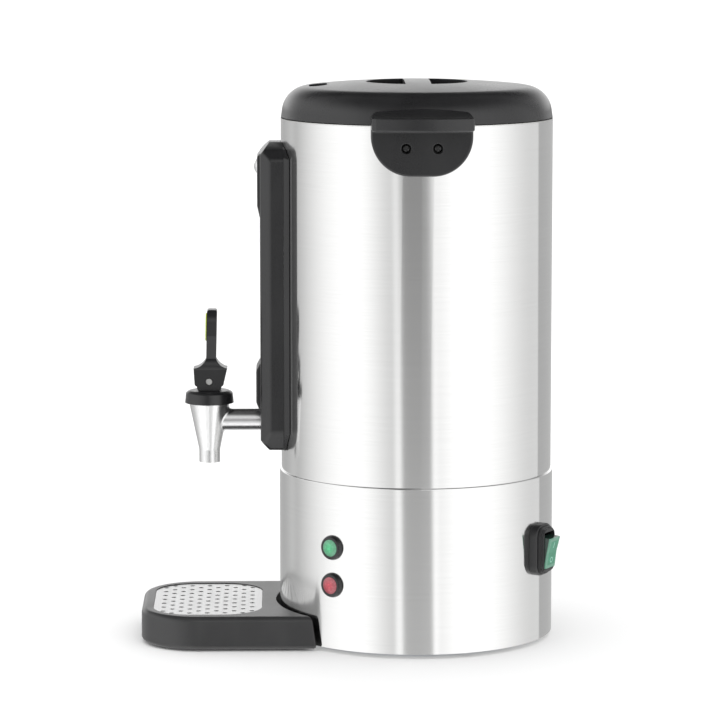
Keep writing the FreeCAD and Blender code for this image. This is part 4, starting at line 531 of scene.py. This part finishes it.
@dataclass(frozen=True)
class LampLens:
    """A frosted lens, brightest round its middle, with a pale rim, fine ridges and small dots."""

    name: str
    middle: Vector
    tint: LensTint
    radius: float = 0.0069
    rim_ends: Span = (0.45, 1.0)
    ridges: float = 38.0
    ridge_share: float = 0.25
    dot_scale: float = 760.0
    dot_ends: Span = (0.15, 0.6)
    dot_share: float = 0.6
    dot_shade: float = 0.7
    frost_scale: float = 2400.0
    roughness: float = 0.30
    spread: float = 0.2
    relief: float = 0.00012

    def material(self) -> bpy.types.Material:
        """Builds the material.

        Returns:
            The finished material.
        """
        graph = Graph.of_material(self.name)
        place = graph.place()
        out = graph.away(place, self.middle) / self.radius
        rings = out.math("SINE", out * self.ridges)
        cells = graph.cells(place, self.dot_scale)
        frost = graph.noise(place, self.frost_scale, detail=2.0)
        rim = out.step(*self.rim_ends)
        dots = cells.step(*self.dot_ends)
        body = graph.mixed(rim, self.tint.middle, self.tint.rim)
        glow = graph.mixed(rim, self.tint.glow, self.tint.deep)
        return graph.close({
            "Base Color": graph.mixed(self.dot_share * dots, body, self.tint.deep),
            "Roughness": self.roughness + self.spread * frost,
            "Coat Weight": 0.25,
            "Coat Roughness": 0.08,
            "Emission Color": graph.mixed(self.dot_shade * dots, glow, self.tint.deep),
            "Emission Strength": 0.35,
            "Normal": graph.bumped(self.ridge_share * rings + cells, self.relief, strength=0.6),
        })


@dataclass(frozen=True)
class ClearPlastic:
    """A lit rocker's clear cap: a green window in its face, a dimmer rim round it and smoky sides."""

    name: str
    seat: Matrix
    face: float
    window: Colour = (0.025, 0.20, 0.11)
    pale: Colour = (0.045, 0.29, 0.17)
    rim: Colour = (0.11, 0.27, 0.19)
    smoke: Colour = (0.012, 0.030, 0.022)
    half_width: float = 0.0064
    half_height: float = 0.0098
    side_fade: float = 0.0007
    end_fade: float = 0.0008
    front_ends: Span = (-0.0020, -0.0014)
    haze_scale: float = 160.0
    haze_ends: Span = (0.35, 0.75)
    haze_share: float = 0.6
    skin_scale: float = 1800.0
    roughness: float = 0.24
    spread: float = 0.10
    relief: float = 0.00003

    def material(self) -> bpy.types.Material:
        """Builds the material.

        Returns:
            The finished material.
        """
        graph = Graph.of_material(self.name)
        place = graph.place()
        middle = self.seat.translation
        across, up, out = (graph.along(place, axis.to_3d(), middle) for axis in self.seat.col[:3])
        sides = abs(across).step(self.half_width, self.half_width + self.side_fade)
        ends = abs(up).step(self.half_height, self.half_height + self.end_fade)
        front = out.step(*(self.face + end for end in self.front_ends))
        haze = graph.noise(place, self.haze_scale)
        skin = graph.noise(place, self.skin_scale, detail=2.0)
        inner = graph.mixed(self.haze_share * haze.step(*self.haze_ends), self.window, self.pale)
        framed = graph.mixed(sides + ends - sides * ends, inner, self.rim)
        return graph.close({
            "Base Color": graph.mixed(front, self.smoke, framed),
            "Roughness": self.roughness + self.spread * skin,
            "Coat Weight": 0.1,
            "Coat Roughness": 0.05,
            "Emission Color": graph.mixed(front, self.smoke, inner),
            "Emission Strength": 0.08,
            "Normal": graph.bumped(haze, self.relief),
        })


@dataclass(frozen=True)
class GaugeGlass:
    """A clear glass tube with faint drawing lines and dried water marks."""

    name: str
    tint: Colour = (0.93, 0.96, 0.95)
    dried: Colour = (0.80, 0.82, 0.80)
    line_scale: Triple = (900.0, 900.0, 12.0)
    mark_scale: float = 420.0
    mark_ends: Span = (0.62, 0.75)
    mark_share: float = 0.5
    roughness: float = 0.03
    mark_spread: float = 0.22
    line_spread: float = 0.03
    relief: float = 0.000004

    def material(self) -> bpy.types.Material:
        """Builds the material.

        Returns:
            The finished material.
        """
        graph = Graph.of_material(self.name)
        place = graph.place()
        lines = graph.noise(graph.stretched(place, self.line_scale), scale=1.0, detail=2.0)
        marks = graph.noise(place, self.mark_scale).step(*self.mark_ends)
        return graph.close({
            "Base Color": graph.mixed(self.mark_share * marks, self.tint, self.dried),
            "Roughness": self.roughness + self.mark_spread * marks + self.line_spread * lines,
            "Transmission Weight": 1.0,
            "IOR": 1.47,
            "Normal": graph.bumped(lines, self.relief),
        })


@dataclass(frozen=True)
class Paper:
    """The pale sweep of paper that the urn stands on."""

    name: str
    pale: Colour = grey(0.95)
    dull: Colour = grey(0.93)
    fibre_scale: float = 900.0
    roughness: float = 0.85
    spread: float = 0.1

    def material(self) -> bpy.types.Material:
        """Builds the material.

        Returns:
            The finished material.
        """
        graph = Graph.of_material(self.name)
        fibres = graph.noise(graph.place(), self.fibre_scale)
        return graph.close({
            "Base Color": graph.mixed(fibres, self.dull, self.pale),
            "Roughness": self.roughness + self.spread * fibres,
            "Specular IOR Level": 0.1,
        })


def metals() -> dict[str, Finish]:
    """Lists the urn's plain metals.

    Returns:
        Each metal by the name of its material slot.
    """
    return {
        "brushed_steel": Metal("steel_brushed_round", (0.735, 0.735, 0.73), (0.68, 0.68, 0.675),
                               Grain.BRUSHED_ROUND, roughness=0.12, spread=0.02, relief=0.0000007,
                               stretch=0.95, clouds=9.0),
        "inner_steel": Metal("steel_satin", (0.70, 0.70, 0.69), (0.58, 0.58, 0.57), Grain.PLAIN,
                             roughness=0.34, spread=0.1),
        "grille_steel": Metal("steel_rolled", grey(0.80), grey(0.70), Grain.BRUSHED_ALONG, roughness=0.3),
        "screw_steel": Metal("steel_turned", (0.66, 0.66, 0.65), (0.50, 0.50, 0.49), Grain.TURNED,
                             roughness=0.3, spread=0.1),
        "dark_steel": Metal("steel_blackened", grey(0.085), grey(0.035), Grain.TURNED,
                            roughness=0.42, spread=0.12),
        "polished_chrome": Metal("steel_polished", grey(0.75), grey(0.66), Grain.TURNED,
                                 roughness=0.26, spread=0.06, relief=0.000004),
        "heater_aluminium": Metal("aluminium_cast", (0.62, 0.62, 0.61), (0.46, 0.46, 0.45), Grain.CAST,
                                  roughness=0.5, spread=0.15, relief=0.00003),
        "terminal_brass": Metal("brass_stamped", (0.72, 0.56, 0.27), (0.58, 0.42, 0.18), Grain.PLAIN,
                                roughness=0.3, spread=0.12),
    }


def finishes() -> dict[str, Finish]:
    """Lists every finish that doesn't depend on where a piece stands.

    Returns:
        Each finish by the name of its material slot.
    """
    return {
        **metals(),
        "plate_steel": Galvanised("steel_galvanised"),
        "element_steel": Heated("steel_heat_tinted"),
        "black_plastic": Moulded("plastic_black", (0.011, 0.011, 0.012), (0.018, 0.018, 0.019),
                                 roughness=0.29),
        "tray_plastic": Moulded("plastic_tray", (0.025, 0.025, 0.026), (0.038, 0.038, 0.039),
                                roughness=0.32, grain=1100.0, worn=0.0015),
        "terminal_white": Moulded("plastic_white", (0.72, 0.71, 0.66), (0.62, 0.60, 0.54), roughness=0.45),
        "lime_plastic": Moulded("plastic_lime", (0.48, 0.60, 0.04), (0.58, 0.68, 0.10),
                                roughness=0.35, grain=1800.0, relief=0.00001, coat=0.3),
        "foot_rubber": Rubber("rubber_foot", grey(0.018), (0.045, 0.044, 0.042)),
        "boot_rubber": Rubber("rubber_boot", (0.014, 0.014, 0.015), grey(0.03), roughness=0.6),
        "silicone": Rubber("silicone_seal", (0.66, 0.65, 0.61), (0.78, 0.77, 0.74),
                           roughness=0.5, sheen=0.05),
        "gauge_glass": GaugeGlass("glass_tube"),
    }


class Palette:
    """Builds each finish once and dresses objects with it."""

    def __init__(self) -> None:
        """Starts with the urn's list of finishes and no material built."""
        self.finishes = finishes()
        self.built: dict[str, bpy.types.Material] = {}

    def add(self, slot: str, finish: Finish) -> None:
        """Adds a finish that depends on where a piece stands."""
        self.finishes[slot] = finish

    def material(self, slot: str) -> bpy.types.Material:
        """Gives the material of a slot, built at its first use.

        Args:
            slot: The finish's slot.

        Returns:
            The material.
        """
        if slot not in self.built:
            self.built[slot] = self.finishes[slot].material()
        return self.built[slot]

    def dress(self, piece: bpy.types.Object, slot: str) -> bpy.types.Object:
        """Puts a finish on a piece.

        Args:
            piece: The piece.
            slot: The finish's slot.

        Returns:
            The piece.
        """
        piece.data.materials.clear()
        piece.data.materials.append(self.material(slot))
        return piece


def centre_of(node: str) -> Vector:
    """Gives the middle of a node's box."""
    low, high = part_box(node)
    return (low + high) / 2


def facing(angle: float, tilt: float = 0.0) -> Matrix:
    """Turns a piece that faces up so that it faces out of the urn's side.

    Args:
        angle: Where it faces, from +X towards +Y.
        tilt: How far its face then leans down.

    Returns:
        The turn; the piece's X runs level and its Y runs up.
    """
    turn = Matrix.Rotation(math.radians(angle), 4, "Z")
    up = Matrix.Rotation(math.radians(90.0 + tilt), 4, "Y")
    return turn @ up @ Matrix.Rotation(math.radians(90.0), 4, "Z")


def stand(name: str, mesh: bmesh.types.BMesh) -> bpy.types.Object:
    """Turns a mesh into an object of the scene.

    Args:
        name: The object's name.
        mesh: The mesh, which is freed.

    Returns:
        The object.
    """
    data = bpy.data.meshes.new(name)
    mesh.to_mesh(data)
    mesh.free()
    made = bpy.data.objects.new(name, data)
    bpy.context.scene.collection.objects.link(made)
    return made


def add_piece(name: str, mesh: bmesh.types.BMesh, body: str, slot: str, palette: Palette,
              round_over: float = 35.0) -> bpy.types.Object:
    """Turns a mesh into a dressed piece that rides on a body.

    Args:
        name: The piece's name.
        mesh: The mesh, which is freed.
        body: The body that it rides on.
        slot: The finish's slot.
        palette: The finishes.
        round_over: Edges under this angle are shaded smooth.

    Returns:
        The piece.
    """
    bmesh.ops.recalc_face_normals(mesh, faces=mesh.faces)
    for edge in mesh.edges:
        edge.smooth = len(edge.link_faces) == 2 and edge.calc_face_angle(0.0) < math.radians(round_over)
    for face in mesh.faces:
        face.smooth = True
    piece = palette.dress(stand(name, mesh), slot)
    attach(piece, body)
    LOG.info("made %s on %s", name, body)
    return piece


def spin(profile: Sequence[Span], steps: int = 48, closed: bool = False) -> bmesh.types.BMesh:
    """Turns a profile about Z.

    Args:
        profile: Points (radius, height), in order.
        steps: How many flats the round has.
        closed: Whether the last point joins the first, which makes a ring.

    Returns:
        The closed mesh.
    """
    mesh = bmesh.new()
    rings = []
    for radius, height in profile:
        angles = [2.0 * math.pi * number / steps for number in range(steps if radius > 0.0 else 1)]
        rings.append([mesh.verts.new((radius * math.cos(a), radius * math.sin(a), height)) for a in angles])
    for low, high in zip(rings, rings[1:] + (rings[:1] if closed else [])):
        for number in range(steps):
            after = (number + 1) % steps
            corners = [low[number % len(low)], low[after % len(low)],
                       high[after % len(high)], high[number % len(high)]]
            mesh.faces.new(list(dict.fromkeys(corners)))
    return mesh


def slab(outline: Sequence[Span], low: float, high: float) -> bmesh.types.BMesh:
    """Gives a flat outline a thickness.

    Args:
        outline: Its corners in order.
        low: Where it starts.
        high: Where it ends.

    Returns:
        The closed mesh.
    """
    mesh = bmesh.new()
    floor = [mesh.verts.new((x, y, low)) for x, y in outline]
    face = mesh.faces.new(floor)
    lifted = bmesh.ops.extrude_face_region(mesh, geom=[face])
    verts = [item for item in lifted["geom"] if isinstance(item, bmesh.types.BMVert)]
    bmesh.ops.translate(mesh, verts=verts, vec=(0.0, 0.0, high - low))
    return mesh


@dataclass(frozen=True)
class ScrewSize:
    """The head and the shank of one kind of screw."""

    radius: float
    rise: float
    shank: float
    length: float


@dataclass
class CrossScrews:
    """Pan-head screws with a cross recess, in place of plain CAD screws.

    The crown's points are shares of the head's radius and rise.
    """

    node: str
    body: str
    slot: str
    size: ScrewSize
    places: Sequence[Matrix]
    crown: Sequence[Span] = ((1.0, 0.0), (1.0, 0.3), (0.97, 0.45), (0.89, 0.69), (0.65, 0.93),
                             (0.55, 0.99), (0.0, 1.0))
    tip_share: float = 0.7
    taper_share: float = 0.6
    arm_share: float = 0.62
    slot_share: float = 0.16
    floor_share: float = 0.35
    over_share: float = 1.5

    def head(self) -> bmesh.types.BMesh:
        """Builds one screw, its seat at the origin and its head above.

        Returns:
            The screw's mesh.
        """
        shank, length = self.size.shank, self.size.length
        rod = [(0.0, -length), (self.tip_share * shank, -length), (shank, self.taper_share * shank - length),
               (shank, 0.0)]
        return spin(rod + [(self.size.radius * out, self.size.rise * up) for out, up in self.crown])

    def recess(self) -> bmesh.types.BMesh:
        """Builds the cross that is cut from a head.

        Returns:
            The cutter's mesh, which ends above the head.
        """
        arm, half = self.arm_share * self.size.radius, self.slot_share * self.size.radius
        quarter = [(half, arm), (half, half), (arm, half)]
        cross = []
        for _ in range(4):
            cross += quarter
            quarter = [(y, -x) for x, y in quarter]
        return slab(cross, self.floor_share * self.size.rise, self.over_share * self.size.rise)

    def cut(self) -> bpy.types.Mesh:
        """Cuts the recess into the head.

        Returns:
            The mesh of one screw.
        """
        objects = []
        for name, mesh in (("head", self.head()), ("cutter", self.recess())):
            bmesh.ops.recalc_face_normals(mesh, faces=mesh.faces)
            objects.append(stand(name, mesh))
        cut = objects[0].modifiers.new("recess", "BOOLEAN")
        cut.operation, cut.solver, cut.object = "DIFFERENCE", "EXACT", objects[1]
        ready = objects[0].evaluated_get(bpy.context.evaluated_depsgraph_get())
        result = bpy.data.meshes.new_from_object(ready)
        for thing in objects:
            bpy.data.objects.remove(thing)
        return result

    def build(self, palette: Palette) -> None:
        """Makes all the screws as one piece.

        Args:
            palette: The finishes.
        """
        one = self.cut()
        mesh = bmesh.new()
        for place in self.places:
            before = len(mesh.verts)
            mesh.from_mesh(one)
            mesh.verts.ensure_lookup_table()
            bmesh.ops.transform(mesh, matrix=place, verts=mesh.verts[before:])
        piece = add_piece(f"{self.node}_cross", mesh, self.body, self.slot, palette)
        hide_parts(self.node)


@dataclass(frozen=True)
class ScrewRing:
    """Screws in a circle, heads down, each turned in further than the last by the twist, in radians."""

    count: int
    radius: float
    level: float
    turn: float
    twist: float

    def places(self) -> list[Matrix]:
        """Places the screws.

        Returns:
            The places.
        """
        places = []
        flip = Matrix.Rotation(math.pi, 4, "X")
        for number in range(self.count):
            angle = math.radians(self.turn + 360.0 / self.count * number)
            seat = Vector((self.radius * math.cos(angle), self.radius * math.sin(angle), self.level))
            places.append(Matrix.Translation(seat) @ flip @ Matrix.Rotation(self.twist * number, 4, "Z"))
        return places


@dataclass
class Fasteners:
    """The screws of the handles, the base and the lid."""

    handle_size: ScrewSize = ScrewSize(radius=0.0034, rise=0.0022, shank=0.002, length=0.011)
    handle_seat: float = 0.1161
    handle_spread: float = 0.01265
    handle_level: float = 0.4154
    first_twist: float = 17.0
    more_twist: float = 31.0
    base_size: ScrewSize = ScrewSize(radius=0.003, rise=0.0015, shank=0.0015, length=0.005)
    base_ring: ScrewRing = ScrewRing(count=4, radius=0.107, level=0.004, turn=20.0, twist=0.4)
    lid_size: ScrewSize = ScrewSize(radius=0.0032, rise=0.0018, shank=0.00175, length=0.01)
    lid_ring: ScrewRing = ScrewRing(count=3, radius=0.074, level=0.4354, turn=90.0, twist=0.7)

    def on_handles(self) -> list[Matrix]:
        """Places two screws on each handle, heads outward.

        Returns:
            The places.
        """
        places = []
        for number, (angle, side) in enumerate(((0.0, -1), (0.0, 1), (180.0, -1), (180.0, 1))):
            reach = self.handle_seat * math.cos(math.radians(angle))
            seat = Vector((reach, side * self.handle_spread, self.handle_level))
            twist = Matrix.Rotation(math.radians(self.first_twist + self.more_twist * number), 4, "Z")
            places.append(Matrix.Translation(seat) @ facing(angle) @ twist)
        return places

    def build(self, palette: Palette) -> None:
        """Makes every set of screws.

        Args:
            palette: The finishes.
        """
        for node, body, slot, size, places in (
                ("handle_screws", "urn", "dark_steel", self.handle_size, self.on_handles()),
                ("base_screws", "urn", "screw_steel", self.base_size, self.base_ring.places()),
                ("lid_screws", "lid", "screw_steel", self.lid_size, self.lid_ring.places())):
            CrossScrews(node, body, slot, size, places).build(palette)


@dataclass(frozen=True)
class Round:
    """A radius for the crisp outer edges in one part of a piece; its X is taken on both sides."""

    radius: float
    low: Triple
    high: Triple
    crisp: float = 22.0

    def holds(self, edge: bmesh.types.BMEdge) -> bool:
        """Tells whether an edge is an outer one that it rounds.

        Args:
            edge: The edge.

        Returns:
            True for an outer edge whose middle lies in the part.
        """
        x, y, z = (edge.verts[0].co + edge.verts[1].co) / 2
        inside = all(low <= value <= high for low, value, high in zip(self.low, (abs(x), y, z), self.high))
        return inside and edge.is_convex and edge.calc_face_angle(0.0) > math.radians(self.crisp)


@dataclass
class Column:
    """The gauge column's cover with its moulded edges rounded, in place of the crisp CAD one."""

    node: str = "gauge_cover"
    weld: float = 0.000001
    flat: float = 0.6
    steps: int = 4
    rounds: Sequence[Round] = (
        Round(0.0024, (0.028, -0.14, 0.0), (0.05, -0.1112, 1.0)),
        Round(0.0012, (0.0, -0.14, 0.0), (0.028, -0.1305, 1.0)),
    )

    def build(self, palette: Palette) -> None:
        """Copies the cover and rounds it.

        Args:
            palette: The finishes.
        """
        mesh = bmesh.new()
        mesh.from_mesh(frame["nodes"][self.node].data)
        bmesh.ops.remove_doubles(mesh, verts=mesh.verts, dist=self.weld)
        limit = math.radians(self.flat)
        bmesh.ops.dissolve_limit(mesh, angle_limit=limit, verts=mesh.verts, edges=mesh.edges)
        for part in self.rounds:
            edges = [edge for edge in mesh.edges if part.holds(edge)]
            bmesh.ops.bevel(mesh, geom=edges, offset=part.radius, offset_type="OFFSET", segments=self.steps,
                            profile=0.5, affect="EDGES", clamp_overlap=False)
            LOG.info("rounded %d edges of %s", len(edges), self.node)
        piece = add_piece(f"{self.node}_soft", mesh, "urn", "black_plastic", palette)
        even = piece.modifiers.new("even", "WEIGHTED_NORMAL")
        even.keep_sharp = True
        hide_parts(self.node)


@dataclass
class TapCoil:
    """The tap's coil spring as a plain copy of the CAD one; the real spring shortens towards the bonnet as
    the stem rises, but this copy keeps one length.
    """

    node: str = "tap_spring"
    joint: str = "stem_lift"
    travel: float = 0.00324
    spare: float = 0.00004

    def build(self, palette: Palette) -> None:
        """Copies the coil and hides the CAD one; its length stays fixed.

        Args:
            palette: The finishes.
        """
        low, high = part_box(self.node)
        mesh = bmesh.new()
        mesh.from_mesh(frame["nodes"][self.node].data)
        piece = add_piece(f"{self.node}_coil", mesh, "urn", "screw_steel", palette)
        middle = centre_of(self.node)
        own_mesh(piece)
        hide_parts(self.node)


@dataclass
class VentCap:
    """The domed cap at the gauge's upper end, in place of the plain CAD plug."""

    node: str = "gauge_cap"
    radius: float = 0.0068
    seat: float = 0.1262
    rise: float = 0.0085
    edge: float = 0.0038
    step: int = 15

    def build(self, palette: Palette) -> None:
        """Turns the dome and sets it on the cover.

        Args:
            palette: The finishes.
        """
        crown = self.rise - self.edge
        curve = [(self.radius * math.cos(math.radians(a)), self.edge + crown * math.sin(math.radians(a)))
                 for a in range(0, 90, self.step)]
        mesh = spin([(0.0, 0.0), (self.radius, 0.0), *curve, (0.0, self.rise)])
        level = centre_of(self.node).z
        place = Matrix.Translation((0.0, -self.seat, level)) @ facing(-90.0)
        bmesh.ops.transform(mesh, matrix=place, verts=mesh.verts)
        piece = add_piece(f"{self.node}_dome", mesh, "urn", "polished_chrome", palette)
        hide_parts(self.node)


@dataclass
class Switch:
    """The lit rocker's look and its two marks."""

    angle: float = 59.8
    level: float = 0.0804
    reach: float = 0.118
    tilt: float = 11.0
    face: float = 0.0102
    hollow: float = 0.0008
    half_height: float = 0.0128
    mark_level: float = 0.0063
    mark_rise: float = 0.00008
    bar_half: Span = (0.0006, 0.0024)
    ring_inner: float = 0.0015
    ring_outer: float = 0.0025
    ring_steps: int = 40
    paint: Finish = Moulded("paint_mark", (0.24, 0.56, 0.42), (0.30, 0.62, 0.48), roughness=0.3)

    def pivot(self) -> Matrix:
        """Gives the rocker's pivot.

        Returns:
            The pivot; its X is level, its Y runs up the face and its Z is the way out.
        """
        turn = math.radians(self.angle)
        place = Vector((self.reach * math.cos(turn), self.reach * math.sin(turn), self.level))
        return Matrix.Translation(place) @ facing(self.angle, self.tilt)

    def seat(self, up: float) -> Matrix:
        """Gives the place of a mark on the rocker's face.

        Args:
            up: How far above the rocker's middle it stands.

        Returns:
            The place; Z is the way out of the face.
        """
        slope = math.copysign(math.atan(self.hollow / self.half_height), up)
        height = self.face - self.hollow * (1.0 - abs(up) / self.half_height)
        lean = Matrix.Rotation(slope, 4, "X")
        return self.pivot() @ Matrix.Translation((0.0, up, height)) @ lean

    def bar(self) -> bmesh.types.BMesh:
        """Builds the straight mark."""
        x, y = self.bar_half
        return slab([(-x, -y), (x, -y), (x, y), (-x, y)], -self.mark_rise, self.mark_rise)

    def ring(self) -> bmesh.types.BMesh:
        """Builds the round mark.

        Returns:
            The closed mesh.
        """
        inner, outer, rise = self.ring_inner, self.ring_outer, self.mark_rise
        section = [(inner, -rise), (outer, -rise), (outer, rise), (inner, rise)]
        return spin(section, self.ring_steps, closed=True)

    def build(self, palette: Palette) -> None:
        """Adds the rocker's finish and the marks for on and off.

        Args:
            palette: The finishes.
        """
        palette.add("green_rocker", ClearPlastic("plastic_clear_green", self.pivot(), self.face))
        palette.add("mark", self.paint)
        for name, mesh, up in (("mark_on", self.bar(), self.mark_level),
                               ("mark_off", self.ring(), -self.mark_level)):
            bmesh.ops.transform(mesh, matrix=self.seat(up), verts=mesh.verts)
            piece = add_piece(name, mesh, "rocker", "mark", palette)


@dataclass
class Lamps:
    """The two pilot lamps' frosted lenses."""

    lenses: Sequence[Lamp] = tuple(Lamp)

    def build(self, palette: Palette) -> None:
        """Adds the finish of each lens.

        Args:
            palette: The finishes.
        """
        for lamp in self.lenses:
            hue = lamp.name.lower()
            middle = centre_of(f"{hue}_lamp_lens")
            palette.add(f"{hue}_lens", LampLens(f"lens_{hue}", middle, lamp.value))


@dataclass
class Shell:
    """The CAD nodes, each dressed with the finish of its slot."""

    slots: dict[str, str] = field(default_factory=lambda: {
        part["node"]: part["material_slot"] for part in frame["record"]["subparts"]})

    def build(self, palette: Palette) -> None:
        """Dresses every node.

        Args:
            palette: The finishes.
        """
        for name, node in frame["nodes"].items():
            palette.dress(node, self.slots[name])
            LOG.info("dressed %s with %s", name, self.slots[name])


@dataclass(frozen=True)
class Wall:
    """A lit wall of the studio that stands between two directions, with soft ends."""

    start: Span
    end: Span
    level: float

    def light(self, turn: Field) -> Field:
        """Gives the wall's light.

        Args:
            turn: The direction, from +X towards +Y.

        Returns:
            The light that comes from there.
        """
        return self.level * turn.step(*self.start) * (1.0 - turn.step(*self.end))


@dataclass
class Surround:
    """The studio round the urn: bright walls, a dim gap at the camera, and a dark upper room."""

    base_level: float = 0.30
    walls: Sequence[Wall] = (
        Wall((-186.0, -185.0), (-135.0, -120.0), 0.22),
        Wall((-158.0, -60.0), (-52.0, -16.0), 0.62),
        Wall((-158.0, -60.0), (-15.1, -14.1), 0.55),
        Wall((-21.1, -20.1), (-15.1, -14.1), 0.30),
        Wall((10.0, 36.0), (50.0, 115.0), 0.33),
        Wall((10.2, 11.0), (50.0, 115.0), 0.28),
        Wall((10.2, 11.0), (124.5, 125.5), 0.61),
        Wall((124.5, 125.5), (185.0, 186.0), 0.26),
    )
    slant: float = 0.5
    slant_rise: float = -8.0
    gap_middle: float = -3.0
    gap_side: Span = (15.0, 20.0)
    gap_rise: Span = (-13.0, -4.5)
    gap_level: float = 0.38
    ground: Span = (-40.0, -14.0)
    ground_level: float = 0.4
    horizon: Span = (-1.0, 3.0)
    upper: Span = (20.0, 62.0)
    upper_level: float = 0.05
    rear: Span = (128.0, 154.0)
    rear_level: float = 1.6
    rear_end: Span = (6.0, 32.0)
    fill: float = 1.3
    white: float = 1.0

    def mirrored(self, graph: Graph) -> Field:
        """Gives the light that shiny surfaces see.

        Args:
            graph: The world's graph.

        Returns:
            The light from each direction.
        """
        x, y, z = graph.axes(graph.field("ShaderNodeTexCoord", {}, {}, "Generated"))
        degrees = 180.0 / math.pi
        turn = y.math("ARCTAN2", y, x) * degrees
        rise = z.math("ARCSINE", z) * degrees
        leaning = turn + self.slant * (rise - self.slant_rise)
        inside = 1.0 - abs(leaning - self.gap_middle).step(*self.gap_side)
        around = self.base_level + self.gap_level * inside * (1.0 - rise.step(*self.gap_rise))
        around = around + self.ground_level * (1.0 - rise.step(*self.ground))
        for wall in self.walls:
            around = around + wall.light(leaning)
        behind = abs(turn).step(*self.rear) * rise.step(*self.horizon)
        around = around * (1.0 - behind) + self.rear_level * behind * (1.0 - rise.step(*self.rear_end))
        dark = rise.step(*self.upper) * (1.0 - behind)
        return around * (1.0 - dark) + self.upper_level * (dark + rise.step(*self.rear_end))

    def build(self) -> None:
        """Sets the world: white to the camera, even to dull surfaces, walled to shiny ones."""
        world = bpy.data.worlds.new("studio")
        bpy.context.scene.world = world
        graph = Graph(world)
        ray = graph.node("ShaderNodeLightPath", {}, {}).outputs
        walls, even, white = (
            graph.node("ShaderNodeBackground", {}, {"Color": WHITE, "Strength": strength}).outputs[0]
            for strength in (self.mirrored(graph), self.fill, self.white))
        soft = graph.node("ShaderNodeMixShader", {}, {0: ray["Is Diffuse Ray"], 1: walls, 2: even})
        seen = graph.node("ShaderNodeMixShader", {}, {0: ray["Is Camera Ray"], 1: soft.outputs[0], 2: white})
        graph.node("ShaderNodeOutputWorld", {}, {0: seen.outputs[0]})


@dataclass
class Studio:
    """The camera, the paper floor and the lit surround; pitch is in radians."""

    lens: float = 178.26
    sensor: float = 36.0
    sight: float = 100.0
    spot: Triple = (2.9461, -0.10965, 0.6297)
    pitch: float = 0.1348
    yaw: float = 88.78
    reach: float = 40.0
    flats: int = 96

    def camera(self) -> None:
        """Sets the camera where the photograph was taken from."""
        data = bpy.data.cameras.new("camera")
        data.sensor_width, data.lens, data.clip_end = self.sensor, self.lens, self.sight
        piece = bpy.data.objects.new("camera", data)
        piece.location = self.spot
        piece.rotation_euler = (math.pi / 2 - self.pitch, 0.0, math.radians(self.yaw))
        bpy.context.scene.collection.objects.link(piece)
        bpy.context.scene.camera = piece

    def floor(self) -> None:
        """Lays the paper, which shiny surfaces don't mirror."""
        mesh = bmesh.new()
        bmesh.ops.create_circle(mesh, cap_ends=True, radius=self.reach, segments=self.flats)
        piece = stand("paper_floor", mesh)
        piece.data.materials.append(Paper("paper").material())
        piece.visible_glossy = False

    def build(self) -> None:
        """Builds the whole studio."""
        self.camera()
        self.floor()
        Surround().build()
        bpy.context.scene.view_settings.view_transform = "Standard"
        LOG.info("studio ready")


def main() -> None:
    """Builds the urn's looks and the studio."""
    logging.basicConfig(level=logging.INFO, format="%(name)s: %(message)s")
    palette = Palette()
    for part in (Lamps(), Switch(), Shell(), Fasteners(), Column(), VentCap(), TapCoil()):
        part.build(palette)
    Studio().build()


if __name__ == "__main__":
    main()
